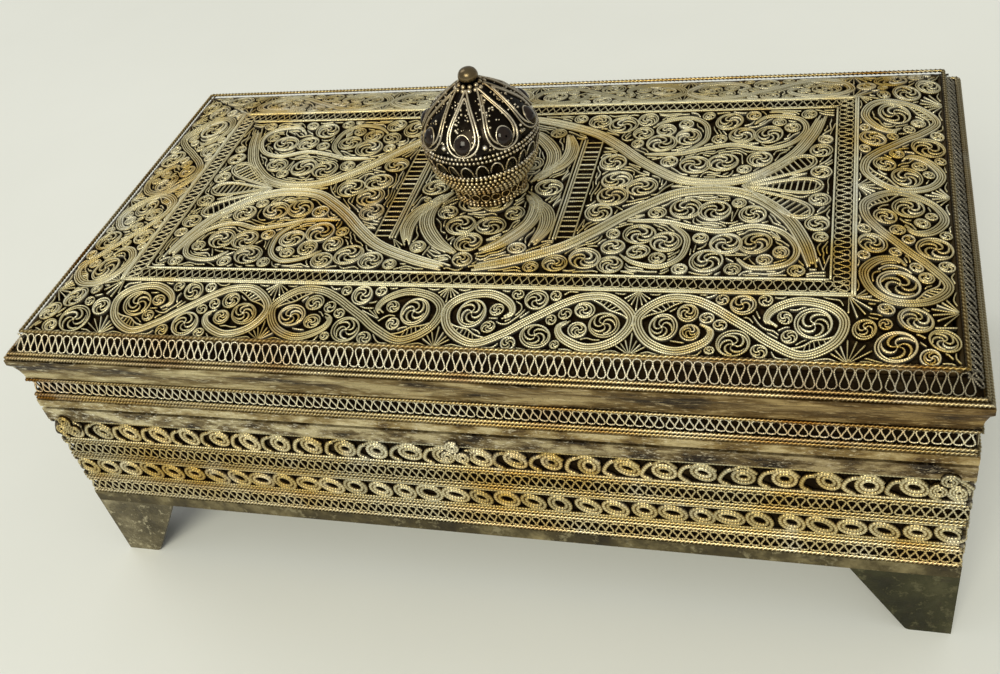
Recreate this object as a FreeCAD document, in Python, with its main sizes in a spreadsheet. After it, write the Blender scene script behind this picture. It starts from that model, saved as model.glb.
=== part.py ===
import FreeCAD, Part
import math
import os
import Sketcher
from FreeCAD import Placement, Rotation, Vector

# Oblong filigree box with a hinged lid. Millimetres, +X to the right, +Y to the back, +Z up.
# The origin is on the table, under the middle of the box.
doc = FreeCAD.newDocument("filigree_box")

# Driving dimensions: alias, value, meaning
SIZES = [
    ("box_length", 160.0, "length over the lower edge of the bevel"),
    ("box_width", 86.0, "width over the lower edge of the bevel"),
    ("foot_height", 15.5, "table to underside of the walls"),
    ("rim_height", 2.8, "plain strip along the top of the walls"),
    ("plinth_height", 2.6, "plain strip along the bottom of the walls"),
    ("seam_gap", 0.6, "gap between rim and lid"),
    ("flange_height", 1.6, "plain strip along the bottom of the lid"),
    ("skirt_height", 5.3, "lattice strip of the lid"),
    ("moulding_height", 5.2, "hollow moulding under the bevel"),
    ("moulding_lip", 1.1, "upright edge over the hollow"),
    ("bevel_height", 3.7, "rise of the bevel"),
    ("bevel_run", 3.7, "run of the bevel"),
    ("border_rise", 2.7, "rise of the border panels"),
    ("border_width", 12.0, "run of the front and back border panels"),
    ("border_end_width", 14.8, "run of the left and right border panels"),
    ("frame_band", 3.4, "width of the frame strips"),
    ("wall_inset", 0.8, "wall and flange faces behind the bevel edge"),
    ("skirt_inset", 1.2, "skirt face behind the bevel edge"),
    ("panel_thickness", 0.9, "thickness of the openwork"),
    ("liner_thickness", 0.4, "thickness of the liner sheets"),
    ("liner_gap", 0.05, "solder gap between openwork and liner"),
    ("liner_drop", 0.8, "liner edge below the rim"),
    ("floor_thickness", 1.0, "thickness of the floor plate"),
    ("wire_diameter", 0.8, "twisted wires"),
    ("wire_seat", 0.15, "room between the bevel and its lower wire"),
    ("rail_width", 0.7, "edge wires of an openwork panel"),
    ("stem_width", 0.9, "bundled stems of the scrollwork"),
    ("main_stem_width", 2.2, "widest stems of the centre panel"),
    ("rosette_diameter", 3.8, "rosettes of the centre panel"),
    ("web_drop", 0.35, "fine wirework of the centre panel below the stems' faces"),
    ("stem_facet", 0.13, "how far a flat of a bent stem may leave its arc"),
    ("lattice_pitch", 14.0, "one zigzag of the lattice wire"),
    ("lattice_bar", 1.6, "width of the lattice wire, lengthwise"),
    ("scroll_pitch", 5.8, "spacing of the small wall scrolls"),
    ("scroll_row", 5.6, "height of the upper row of wall scrolls"),
    ("lattice_row", 2.8, "height of a row of wall lattice"),
    ("lower_scroll_row", 4.6, "height of the lower row of wall scrolls"),
    ("gap_width", 3.2, "opening between two wall scrolls, lengthwise"),
    ("gap_height", 2.4, "opening between two wall scrolls, upright"),
    ("foot_width", 16.5, "foot along the wall, at the top"),
    ("foot_toe", 7.0, "foot along the wall, at the table"),
    ("foot_thickness", 1.0, "sheet of the feet"),
    ("toe_round", 1.2, "rounded toe of a foot"),
    ("coil_diameter", 2.4, "one coil of a wire ornament"),
    ("coil_hole", 0.9, "hole in a coil"),
    ("coil_height", 0.7, "thickness of a wire ornament"),
    ("hinge_length", 60.0, "all knuckles together"),
    ("barrel_diameter", 1.6, "outside of a knuckle"),
    ("leaf_thickness", 0.5, "flat leaf of a knuckle"),
    ("leaf_height", 1.9, "flat leaf of a knuckle, from the hinge axis"),
    ("pin_diameter", 0.8, "hinge pin"),
    ("pin_clearance", 0.05, "pin to knuckle, all round"),
    ("knuckle_gap", 0.2, "between neighbouring knuckles"),
    ("groove_clearance", 0.2, "knuckle to its groove"),
    ("seat_diameter", 14.6, "plain seat under the knob"),
    ("collar_diameter", 13.4, "collar of the knob"),
    ("collar_height", 3.2, "collar of the knob"),
    ("bowl_height", 4.8, "granulated bowl of the knob"),
    ("dome_diameter", 20.6, "dome of the knob"),
    ("dome_height", 12.9, "dome of the knob"),
    ("crown_diameter", 4.0, "flat top of the dome"),
    ("ball_diameter", 2.6, "ball on the knob"),
    ("stone_diameter", 3.2, "stones in the petals"),
    ("stone_height", 0.9, "stones in the petals"),
    ("stud_diameter", 3.0, "stud of the knob"),
    ("stud_clearance", 0.1, "stud to its holes, all round"),
    ("nut_diameter", 6.0, "nut inside the lid, over the corners"),
    ("nut_height", 2.2, "nut inside the lid"),
    ("stud_tail", 0.5, "stud end below the nut"),
]
KNUCKLES = 3
PETALS = 8
ROUND_SIDES = 16
ROSETTE_SIDES = 6
STONE_SIDES = 8
COIL_SIDES = 6
FRONT_SCROLL_COUNT = 4
END_SCROLL_COUNT = 2
LADDER_RUNGS = 9

# Shares of the panel or piece that they follow
LOOP_RADIUS_SHARE = 0.39
LOOP_STEP_SHARE = 0.22
LOOP_CORNER_SHARE = 0.05
PETAL_ROOT_SHARE = 0.75
PETAL_LENGTH_SHARES = (0.92, 0.86, 0.92)
PETAL_WIDTH_SHARE = 0.11
LADDER_PLACE_SHARE = 0.278
LADDER_REACH_SHARE = 0.66
LADDER_WIDTH_SHARE = 0.055
HOLLOW_SHARES = ((0.0, 0.0), (0.45, 0.2), (0.78, 0.52), (0.95, 0.8), (1.0, 1.0))
DOME_SHARES = ((0.0, 0.93), (0.2, 1.0), (0.42, 0.96), (0.64, 0.8), (0.84, 0.5), (1.0, None))
BALL_SHARES = ((0.0, 0.5), (0.25, 0.87), (0.5, 1.0), (0.75, 0.87), (1.0, 0.5))
STONE_LEVEL_SHARE = 0.31
BOWL_SHARES = ((0.0, 0.72), (0.35, 0.86), (1.0, 0.96))
CORNER_COIL_SHARE = 0.45
ORNAMENT_DROP_SHARE = 0.9
EDGE_WIRE_SHARES = (0.48, 0.88)

# Stems and rosettes in the quarter of the centre panel with +X and +Y, as shares of its half length and width
OGEE_SHARES = (
    (0.03, 0.94), (0.148, 0.86), (0.275, 0.71), (0.36, 0.53), (0.43, 0.35), (0.5, 0.2), (0.568, 0.085),
    (0.645, 0.045), (0.726, 0.06), (0.805, 0.155), (0.885, 0.375), (0.933, 0.635), (0.96, 0.89),
)
LEAF_SHARES = (
    (0.445, 0.41), (0.55, 0.415), (0.71, 0.52), (0.8, 0.46), (0.875, 0.53), (0.915, 0.71), (0.89, 0.86),
    (0.805, 0.9), (0.76, 0.8),
)
LOBE_SHARES = (
    (0.56, 0.42), (0.615, 0.56), (0.625, 0.68), (0.61, 0.82), (0.56, 0.905), (0.49, 0.865), (0.45, 0.78),
)
ROSETTE_SHARES = (
    (0.33, 0.86), (0.4, 0.72), (0.47, 0.6), (0.55, 0.64), (0.705, 0.68), (0.8, 0.64), (0.865, 0.7),
    (0.58, 0.27), (0.66, 0.33), (0.74, 0.26), (0.36, 0.28), (0.1, 0.62), (0.18, 0.45), (0.665, 0.87),
    (0.815, 0.33), (0.37, 0.1),
)

# Turns in degrees
UPRIGHT = 90
LOOP_START = 100
PETAL_LEANS = (-34, 0, 34)

sheet = doc.addObject("Spreadsheet::Sheet", "sizes")
for row, (alias, number, meaning) in enumerate(SIZES, start=1):
    sheet.set("A%d" % row, meaning)
    sheet.set("B%d" % row, str(number))
    sheet.setAlias("B%d" % row, alias)
doc.recompute()


def size(alias):
    """One driving dimension, read from the sheet"""
    return float(sheet.get(alias))


def value(expression):
    """The number that an expression of the sheet gives"""
    return float(sheet.evalExpression(expression))


# Rows of a wall from the rim down: what it is and how high
WALL_ROWS = [
    ("scroll", "sizes.scroll_row"),
    ("wire", "sizes.wire_diameter"),
    ("lattice", "sizes.lattice_row"),
    ("wire", "sizes.wire_diameter"),
    ("wire", "sizes.wire_diameter"),
    ("scroll", "sizes.lower_scroll_row"),
    ("wire", "sizes.wire_diameter"),
    ("wire", "sizes.wire_diameter"),
    ("lattice", "sizes.lattice_row"),
    ("wire", "sizes.wire_diameter"),
]
ROWS_HEIGHT = "(%s)" % " + ".join(height for kind, height in WALL_ROWS)

# Levels and outlines that many pieces share, as expressions of the sheet
FLOOR_Z = "sizes.foot_height"
RIM_Z = "(sizes.foot_height + sizes.plinth_height + %s + sizes.rim_height)" % ROWS_HEIGHT
SEAM_Z = "(%s + sizes.seam_gap / 2)" % RIM_Z
LID_Z = "(%s + sizes.seam_gap)" % RIM_Z
SKIRT_Z = "(%s + sizes.flange_height)" % LID_Z
MOULDING_Z = "(%s + sizes.skirt_height)" % SKIRT_Z
BEVEL_Z = "(%s + sizes.moulding_height)" % MOULDING_Z
EDGE_Z = "(%s + sizes.bevel_height)" % BEVEL_Z
TOP_Z = "(%s + sizes.border_rise)" % EDGE_Z
WALL_X = "(sizes.box_length / 2 - sizes.wall_inset)"
WALL_Y = "(sizes.box_width / 2 - sizes.wall_inset)"
FRAME_X = "(sizes.box_length / 2 - sizes.bevel_run - sizes.border_end_width)"
FRAME_Y = "(sizes.box_width / 2 - sizes.bevel_run - sizes.border_width)"
STUD_HOLE = "(sizes.stud_diameter / 2 + sizes.stud_clearance)"
LINER_DEPTH = "(sizes.panel_thickness + sizes.liner_gap)"
CEILING_Z = "(%s - %s - sizes.liner_thickness)" % (TOP_Z, LINER_DEPTH)

SIDES = ("front", "right", "back", "left")
LONG_SIDES = ("front", "back")
TURN_DEGREES = {"front": 0, "right": 90, "back": 180, "left": 270}
nodes = []


def keep(part, label):
    """Name a finished sub-part; its label becomes the name of its file"""
    part.Label = label
    nodes.append(part)
    return part


def shaped(label, shape, placement=None):
    """Sub-part whose shape is worked out here from the sheet"""
    part = doc.addObject("Part::Feature", label)
    part.Shape = shape
    if placement:
        part.Placement = placement
    return part


def bound(kind, name, **expressions):
    """Primitive whose properties follow the sheet"""
    part = doc.addObject(kind, name)
    for name_of_property, expression in expressions.items():
        part.setExpression(name_of_property, expression)
    return part


def put(part, x="0", y="0", z="0"):
    """Tie the place of a primitive or body to the sheet"""
    for axis, expression in zip("xyz", (x, y, z)):
        part.setExpression("Placement.Base." + axis, expression)
    return part


def group(name, parts):
    """Several separate solids in one sub-part"""
    together = doc.addObject("Part::Compound", name)
    together.Links = parts
    return together


def cut(name, base, tool):
    rest = doc.addObject("Part::Cut", name)
    rest.Base = base
    rest.Tool = tool
    return rest


def outline_sketch(body, name, role, points):
    """Closed outline in one of the body's planes, every corner tied to the sheet"""
    sketch = body.newObject("Sketcher::SketchObject", name)
    plane = [feature for feature in body.Origin.OriginFeatures if feature.Role == role][0]
    sketch.AttachmentSupport = [(plane, "")]
    sketch.MapMode = "FlatFace"
    corners = [Vector(value(across), value(up), 0) for across, up in points]
    count = len(corners)
    for index in range(count):
        sketch.addGeometry(Part.LineSegment(corners[index], corners[(index + 1) % count]))
    for index in range(count):
        sketch.addConstraint(Sketcher.Constraint("Coincident", index, 2, (index + 1) % count, 1))
    for index, place in enumerate(points):
        for kind, expression in zip(("DistanceX", "DistanceY"), place):
            tie = Sketcher.Constraint(kind, -1, 1, index, 1, value(expression))
            number = sketch.addConstraint(tie)
            sketch.setExpression("Constraints[%d]" % number, expression)
    return sketch


def side_run(side, inset):
    """Half the length of a side and its distance from the middle, for an outline set in from the bevel"""
    along = size("box_length") / 2 - inset
    away = size("box_width") / 2 - inset
    return (along, away) if side in LONG_SIDES else (away, along)


def leaning(side, away, level, tilt, start=0):
    """Placement of a panel drawn flat: X along the side, Y up the panel from its start, Z outwards"""
    lean = Placement(Vector(0, -away, level), Rotation(Vector(1, 0, 0), tilt))
    around = Placement(Vector(), Rotation(Vector(0, 0, 1), TURN_DEGREES[side]))
    return around.multiply(lean).multiply(Placement(Vector(0, start, 0), Rotation()))


# Flat drawing for the openwork
def loop_of(points):
    return Part.makePolygon([Vector(x, y, 0) for x, y in points] + [Vector(points[0][0], points[0][1], 0)])


def flat_face(outline, windows):
    return Part.makeFace([outline] + windows, "Part::FaceMakerBullseye")


def sector(centre, radius, start, end, width):
    """Flat stem bent along an arc in short flats; angles in degrees, counter-clockwise"""
    flat = 2 * math.degrees(math.acos(1 - size("stem_facet") / radius))
    count = max(math.ceil((end - start) / flat), 1)
    turns = [math.radians(start + (end - start) * index / count) for index in range(count + 1)]
    outer, inner = [
        [(centre[0] + distance * math.cos(turn), centre[1] + distance * math.sin(turn)) for turn in turns]
        for distance in (radius + width / 2, radius - width / 2)
    ]
    return Part.Face(loop_of(outer + inner[::-1]))


def stem_along(points, width):
    """Flat stem of even width through points"""
    left, right = [], []
    for index, point in enumerate(points):
        before, after = points[max(index - 1, 0)], points[min(index + 1, len(points) - 1)]
        run = (after[0] - before[0], after[1] - before[1])
        half = width / 2 / math.hypot(*run)
        left.append((point[0] - run[1] * half, point[1] + run[0] * half))
        right.append((point[0] + run[1] * half, point[1] - run[0] * half))
    return Part.Face(loop_of(left + right[::-1]))


def soldered(faces, thickness):
    """Flat stems joined where they cross, as one piece of openwork, its outer face at Z = 0"""
    stems = [face.extrude(Vector(0, 0, -thickness)) for face in faces]
    return stems[0].multiFuse(stems[1:]).removeSplitter().Solids[0]


def trapezium(low_half, high_half, height, margin=0.0):
    """Outline of a panel that narrows from its lower to its upper edge, set in by a margin"""
    slant = math.hypot(low_half - high_half, height) / height
    def half_at(level):
        return low_half + (high_half - low_half) * level / height - margin * slant

    low, high = half_at(margin), half_at(height - margin)
    return [(-low, margin), (low, margin), (high, height - margin), (-high, height - margin)]


def zigzag_windows(half, bottom, top):
    """Triangles left open by a wire that zigzags between two rails"""
    folds = 2 * max(round(2 * half / size("lattice_pitch")), 1)
    step = 2 * half / folds
    reach = step - size("lattice_bar")
    windows = []
    for fold in range(1, folds):
        middle = -half + fold * step
        tip, base = (top, bottom) if fold % 2 else (bottom, top)
        windows.append(loop_of([(middle, tip), (middle - reach, base), (middle + reach, base)]))
    return windows


def lattice_plate(low_half, high_half, height, thickness):
    """Strip of zigzag lattice between two rails, its outer face at Z = 0"""
    rail = size("rail_width")
    inside = trapezium(low_half, high_half, height, rail)
    windows = zigzag_windows(min(inside[1][0], inside[2][0]), rail, height - rail)
    face = flat_face(loop_of(trapezium(low_half, high_half, height)), windows)
    return face.extrude(Vector(0, 0, -thickness))


# Base walls: two rows of scrolls, open between the scrolls, and two closed rows for the lattice
def wall_plate(half, height, thickness):
    rail = size("rail_width")
    windows = []
    level = height
    for kind, row_height in WALL_ROWS:
        top = level
        level -= value(row_height)
        if kind == "scroll":
            windows += scroll_gaps(half - rail, (level + top) / 2)
    face = flat_face(loop_of([(-half, 0), (half, 0), (half, height), (-half, height)]), windows)
    return face.extrude(Vector(0, 0, -thickness))


def scroll_gaps(half, level):
    """Three-cornered openings between the small scrolls of a row"""
    count = max(int(2 * half / size("scroll_pitch")), 1)
    step = 2 * half / count
    across = size("gap_width") / 2
    up = size("gap_height") / 2
    gaps = []
    for index in range(count):
        middle = -half + (index + 0.5) * step
        corners = [(middle, level - up), (middle + across, level + up), (middle - across, level + up)]
        gaps.append(loop_of(corners))
    return gaps


panel = size("panel_thickness")
panel_level = value(FLOOR_Z) + size("plinth_height")
panel_height = value(ROWS_HEIGHT)
for side in SIDES:
    half, away = side_run(side, size("wall_inset"))
    if side not in LONG_SIDES:
        half -= panel
    place = leaning(side, away, panel_level, UPRIGHT)
    keep(shaped(side + "_wall", wall_plate(half, panel_height, panel), place), side + "_wall_panel")


def straight_strips(name, level, height, outset_x, outset_y, thickness):
    """Two long strips and two short ones between them, as bars round an outline"""
    bars = []
    for sign in ("-", ""):
        long_bar = bound("Part::Box", name + "_long", Length="2 * " + outset_x,
                         Width=thickness, Height=height)
        depth = "-%s" % outset_y if sign else "%s - %s" % (outset_y, thickness)
        bars.append(put(long_bar, "-" + outset_x, depth, level))
        short_bar = bound("Part::Box", name + "_short", Length=thickness,
                          Width="2 * (%s - %s)" % (outset_y, thickness), Height=height)
        across = "-%s" % outset_x if sign else "%s - %s" % (outset_x, thickness)
        bars.append(put(short_bar, across, "%s - %s" % (thickness, outset_y), level))
    return bars


def hinge_cylinder(name, radius, start, length):
    """Round bar or hole along the hinge axis"""
    bar = bound("Part::Cylinder", name, Radius=radius, Height=length)
    bar.Placement = Placement(Vector(), Rotation(Vector(0, 1, 0), 90))
    return put(bar, start, WALL_Y, SEAM_Z)


BARREL_GROOVE = "(sizes.barrel_diameter / 2 + sizes.groove_clearance)"
GROOVE_RUN = "(sizes.hinge_length + 2 * sizes.groove_clearance)"


def grooved_strips(label, level, height):
    """Strips whose back one is grooved for the hinge knuckles"""
    bars = straight_strips(label, level, height, WALL_X, WALL_Y, "sizes.panel_thickness")
    groove = hinge_cylinder(label + "_groove", BARREL_GROOVE, "-%s / 2" % GROOVE_RUN, GROOVE_RUN)
    bars[2] = cut(label + "_back", bars[2], groove)
    return keep(group(label + "_group", bars), label)


# Base: plinth, rim, floor and liner
keep(group("plinth_group", straight_strips("plinth", FLOOR_Z, "sizes.plinth_height", WALL_X, WALL_Y,
                                           "sizes.panel_thickness")), "plinth_strips")
grooved_strips("rim_strips", "%s - sizes.rim_height" % RIM_Z, "sizes.rim_height")

INNER_X = "(%s - sizes.panel_thickness)" % WALL_X
INNER_Y = "(%s - sizes.panel_thickness)" % WALL_Y
floor_plate = bound("Part::Box", "floor", Length="2 * " + INNER_X, Width="2 * " + INNER_Y,
                    Height="sizes.floor_thickness")
keep(put(floor_plate, "-" + INNER_X, "-" + INNER_Y, FLOOR_Z), "floor_plate")

LINER_X = "(%s - sizes.liner_gap)" % INNER_X
LINER_Y = "(%s - sizes.liner_gap)" % INNER_Y
LINER_Z = "(%s + sizes.floor_thickness)" % FLOOR_Z
LINER_HEIGHT = "%s - sizes.liner_drop - %s" % (RIM_Z, LINER_Z)
liner_walls = straight_strips("liner_wall", LINER_Z, LINER_HEIGHT, LINER_X, LINER_Y, "sizes.liner_thickness")
keep(group("liner_walls", liner_walls), "base_liner_walls")
INSIDE_X = "(%s - sizes.liner_thickness - sizes.liner_gap)" % LINER_X
INSIDE_Y = "(%s - sizes.liner_thickness - sizes.liner_gap)" % LINER_Y
liner_floor = bound("Part::Box", "liner_floor", Length="2 * " + INSIDE_X, Width="2 * " + INSIDE_Y,
                    Height="sizes.liner_thickness")
keep(put(liner_floor, "-" + INSIDE_X, "-" + INSIDE_Y, LINER_Z), "base_liner_floor")


# Twisted wires, as straight six-sided bars that lie on the outer faces
FLAT_SHARE = math.cos(math.pi / 6)
WIRE_RADIUS = "sizes.wire_diameter / 2"
WIRE_FLAT = "(%s * %s)" % (WIRE_RADIUS, FLAT_SHARE)


def wire_ring(name, along, away, level):
    """Four wires round the box at one level"""
    wires = []
    for side in SIDES:
        half, distance = (along, away) if side in LONG_SIDES else (away, along)
        length = "2 * (%s - sizes.wire_diameter)" % half
        wire = bound("Part::Prism", name, Circumradius=WIRE_RADIUS, Height=length)
        turn = Placement(Vector(), Rotation(Vector(0, 0, 1), TURN_DEGREES[side]))
        wire.Placement = turn.multiply(Placement(Vector(), Rotation(Vector(0, 1, 0), 90)))
        start = "-(%s - sizes.wire_diameter)" % half
        places = {
            "front": (start, "-(%s)" % distance),
            "right": (distance, start),
            "back": ("-(%s)" % start, distance),
            "left": ("-(%s)" % distance, "-(%s)" % start),
        }
        wires.append(put(wire, *places[side], level))
    return wires


WIRE_X = "(%s + %s)" % (WALL_X, WIRE_FLAT)
WIRE_Y = "(%s + %s)" % (WALL_Y, WIRE_FLAT)
courses = []
course_top = "%s - sizes.rim_height" % RIM_Z
for number, (kind, row_height) in enumerate(WALL_ROWS):
    if kind == "wire":
        courses += wire_ring("wall_wire_%d" % number, WIRE_X, WIRE_Y, "%s - %s" % (course_top, WIRE_RADIUS))
    course_top = "%s - %s" % (course_top, row_height)
keep(group("wall_wires", courses), "wall_twisted_wires")


# Wire ornaments: three coils side by side, set on the rim
def many_sided(centre, radius, sides):
    """Closed outline with equal sides about a centre"""
    corners = []
    for index in range(sides):
        turn = 2 * math.pi * (index + 0.5) / sides
        corners.append((centre[0] + radius * math.cos(turn), centre[1] + radius * math.sin(turn)))
    return loop_of(corners)


def coil_ornament():
    """Three coils in a clover, drawn flat, their outer face at Z = coil_height"""
    radius = size("coil_diameter") / 2
    coils = []
    for centre in ((-radius, 0), (radius, 0), (0, radius * math.sqrt(3))):
        hole = many_sided(centre, size("coil_hole") / 2, COIL_SIDES)
        ring = flat_face(many_sided(centre, radius / math.cos(math.pi / COIL_SIDES), COIL_SIDES), [hole])
        coils.append(ring.extrude(Vector(0, 0, size("coil_height"))))
    return coils[0].multiFuse(coils[1:]).removeSplitter().Solids[0]


ornament_level = value(RIM_Z) - size("rim_height") - size("coil_diameter") * ORNAMENT_DROP_SHARE
half_front, front_away = side_run("front", size("wall_inset"))
clover = coil_ornament()
front_place = leaning("front", front_away, ornament_level, UPRIGHT)
keep(shaped("front_ornament", clover, front_place), "front_coil_ornament")
corner_shift = half_front - size("coil_diameter") * (1 + CORNER_COIL_SHARE)
corner_coils = []
for sign in (-1, 1):
    coil = clover.copy()
    coil.Placement = front_place.multiply(Placement(Vector(sign * corner_shift, 0, 0), Rotation()))
    corner_coils.append(coil)
keep(shaped("corner_ornaments", Part.makeCompound(corner_coils)), "corner_coil_ornaments")


# Feet: sheet brackets bent round the corners, with a slanted inner edge
def foot_sketch(body, name, role, corner):
    return outline_sketch(body, name, role, [
        (corner, "0"), (corner, FLOOR_Z), ("%s - sizes.foot_width" % corner, FLOOR_Z),
        ("%s - sizes.foot_toe" % corner, "0")])


def foot_body():
    """Foot at the corner with +X and +Y"""
    body = doc.addObject("PartDesign::Body", "foot")
    for role, corner, setback in (("XZ_Plane", WALL_X, WALL_Y), ("YZ_Plane", WALL_Y, WALL_X)):
        sketch = foot_sketch(body, "foot_" + role, role, corner)
        if role == "XZ_Plane":
            sketch.setExpression("AttachmentOffset.Base.z", "-%s" % setback)
        else:
            sketch.setExpression("AttachmentOffset.Base.z", "%s - sizes.foot_thickness" % setback)
        pad = body.newObject("PartDesign::Pad", "foot_pad_" + role)
        pad.Profile = sketch
        pad.setExpression("Length", "sizes.foot_thickness")
    doc.recompute()
    toes = []
    for index, edge in enumerate(pad.Shape.Edges, start=1):
        ends = [vertex.Point for vertex in edge.Vertexes]
        on_table = all(abs(point.z) < size("toe_round") / 2 for point in ends)
        sheet_edge = abs(edge.Length - size("foot_thickness")) < size("toe_round") / 2
        inner = min(abs(point.x) for point in ends) < value(WALL_X) - size("foot_toe") / 2
        inner_side = min(abs(point.y) for point in ends) < value(WALL_Y) - size("foot_toe") / 2
        if on_table and sheet_edge and (inner or inner_side):
            toes.append("Edge%d" % index)
    rounding = body.newObject("PartDesign::Fillet", "foot_rounding")
    rounding.Base = (pad, toes)
    rounding.setExpression("Radius", "sizes.toe_round")
    return body


def mirrored(name, source, normal):
    twin = doc.addObject("Part::Mirroring", name)
    twin.Source = source
    twin.Normal = normal
    return twin


back_right_foot = keep(foot_body(), "back_right_foot")
back_left_foot = keep(mirrored("foot_back_left", back_right_foot, Vector(1, 0, 0)), "back_left_foot")
keep(mirrored("foot_front_right", back_right_foot, Vector(0, 1, 0)), "front_right_foot")
keep(mirrored("foot_front_left", back_left_foot, Vector(0, 1, 0)), "front_left_foot")


# Hinge along the back: knuckles in turn on base and lid, each with a leaf on its strip, round one pin
KNUCKLE = "((sizes.hinge_length - %d * sizes.knuckle_gap) / %d)" % (KNUCKLES - 1, KNUCKLES)
LEAF_Z = {"base": "%s - sizes.leaf_height" % SEAM_Z, "lid": SEAM_Z}
knuckles = {"base": [], "lid": []}
for index in range(KNUCKLES):
    owner = "lid" if index % 2 else "base"
    start = "-sizes.hinge_length / 2 + %d * (%s + sizes.knuckle_gap)" % (index, KNUCKLE)
    barrel = hinge_cylinder("barrel_%d" % index, "sizes.barrel_diameter / 2", start, KNUCKLE)
    leaf = bound("Part::Box", "leaf_%d" % index, Length=KNUCKLE, Width="sizes.leaf_thickness",
                 Height="sizes.leaf_height")
    put(leaf, start, WALL_Y, LEAF_Z[owner])
    blank = doc.addObject("Part::Fuse", "knuckle_blank_%d" % index)
    blank.Base = barrel
    blank.Tool = leaf
    bore = hinge_cylinder("bore_%d" % index, "sizes.pin_diameter / 2 + sizes.pin_clearance", start, KNUCKLE)
    knuckles[owner].append(cut("knuckle_%d" % index, blank, bore))
keep(group("base_knuckles", knuckles["base"]), "base_hinge_knuckles")
keep(group("lid_knuckles", knuckles["lid"]), "lid_hinge_knuckles")
pin = hinge_cylinder("pin", "sizes.pin_diameter / 2", "-sizes.hinge_length / 2", "sizes.hinge_length")
keep(pin, "hinge_pin")

# Lid: flange, skirt and its liner
grooved_strips("flange_strips", LID_Z, "sizes.flange_height")
for side in SIDES:
    half, away = side_run(side, size("skirt_inset"))
    if side not in LONG_SIDES:
        half -= panel
    plate = lattice_plate(half, half, size("skirt_height"), panel)
    place = leaning(side, away, value(SKIRT_Z), UPRIGHT)
    keep(shaped(side + "_skirt", plate, place), side + "_skirt_panel")
SKIRT_LINER_X = "(sizes.box_length / 2 - sizes.skirt_inset - %s)" % LINER_DEPTH
SKIRT_LINER_Y = "(sizes.box_width / 2 - sizes.skirt_inset - %s)" % LINER_DEPTH
SKIRT_LINER_HEIGHT = "sizes.skirt_height + sizes.moulding_height"
skirt_sheets = straight_strips("skirt_sheet", SKIRT_Z, SKIRT_LINER_HEIGHT, SKIRT_LINER_X, SKIRT_LINER_Y,
                               "sizes.liner_thickness")
keep(group("skirt_sheets", skirt_sheets), "skirt_liner")


def flat_sided(rings):
    """Solid with flat faces between rings of corners, closed by the first and the last ring"""
    faces = [Part.Face(Part.makePolygon(ring + ring[:1])) for ring in (rings[0], rings[-1])]
    for lower, upper in zip(rings, rings[1:]):
        for index in range(len(lower)):
            after = (index + 1) % len(lower)
            corners = [lower[index], lower[after], upper[after], upper[index], lower[index]]
            faces.append(Part.Face(Part.makePolygon(corners)))
    solid = Part.Solid(Part.Shell(faces))
    if solid.Volume < 0:
        solid.reverse()
    return solid


def mitred_strip(side, profile):
    """Strip along one side, mitred at both ends; a profile point has half length, half width, height"""
    ends = []
    for sign in (-1, 1):
        corners = []
        for half_length, half_width, height in profile:
            along, away = (half_length, half_width) if side in LONG_SIDES else (half_width, half_length)
            corners.append(Vector(sign * along, -away, height))
        ends.append(corners)
    strip = flat_sided(ends)
    strip.Placement = Placement(Vector(), Rotation(Vector(0, 0, 1), TURN_DEGREES[side]))
    return strip


def ring_point(inset, height):
    """Profile point on an outline set in from the bevel edge"""
    return (size("box_length") / 2 - inset, size("box_width") / 2 - inset, height)


# Lid: hollow moulding between skirt and bevel
hollow_top = value(BEVEL_Z) - size("moulding_lip")
hollow_height = size("moulding_height") - size("moulding_lip")
moulding = [ring_point(0, value(BEVEL_Z))]
for in_share, down_share in HOLLOW_SHARES:
    moulding.append(ring_point(size("skirt_inset") * in_share, hollow_top - hollow_height * down_share))
inner_face = size("skirt_inset") + panel
moulding.append(ring_point(inner_face, value(MOULDING_Z)))
moulding.append(ring_point(inner_face, value(BEVEL_Z)))
for side in SIDES:
    keep(shaped(side + "_hollow", mitred_strip(side, moulding)), side + "_moulding")

# Lid: bevel of lattice, with its liner
bevel_tilt = math.atan2(size("bevel_height"), size("bevel_run"))
bevel_slope = math.hypot(size("bevel_height"), size("bevel_run"))
edge_x, edge_y, edge_z = ring_point(size("bevel_run"), value(EDGE_Z))
frame_x, frame_y = value(FRAME_X), value(FRAME_Y)


def border_lie(side):
    """Half lengths of a border panel's lower and upper edge, its run and its tilt"""
    low_half, low_away = (edge_x, edge_y) if side in LONG_SIDES else (edge_y, edge_x)
    high_half, high_away = (frame_x, frame_y) if side in LONG_SIDES else (frame_y, frame_x)
    run = low_away - high_away
    return low_half, high_half, run, math.atan2(size("border_rise"), run)


for side in SIDES:
    half, away = side_run(side, 0)
    start = panel / math.tan(bevel_tilt) + size("wire_seat")
    end = bevel_slope - panel * math.tan((bevel_tilt - border_lie(side)[3]) / 2)
    shorten = panel * math.sin(bevel_tilt)
    slide = size("bevel_run") / bevel_slope
    plate = lattice_plate(half - shorten - start * slide, half - shorten - end * slide, end - start, panel)
    place = leaning(side, away, value(BEVEL_Z), math.degrees(bevel_tilt), start)
    keep(shaped(side + "_bevel", plate, place), side + "_bevel_panel")


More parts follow.
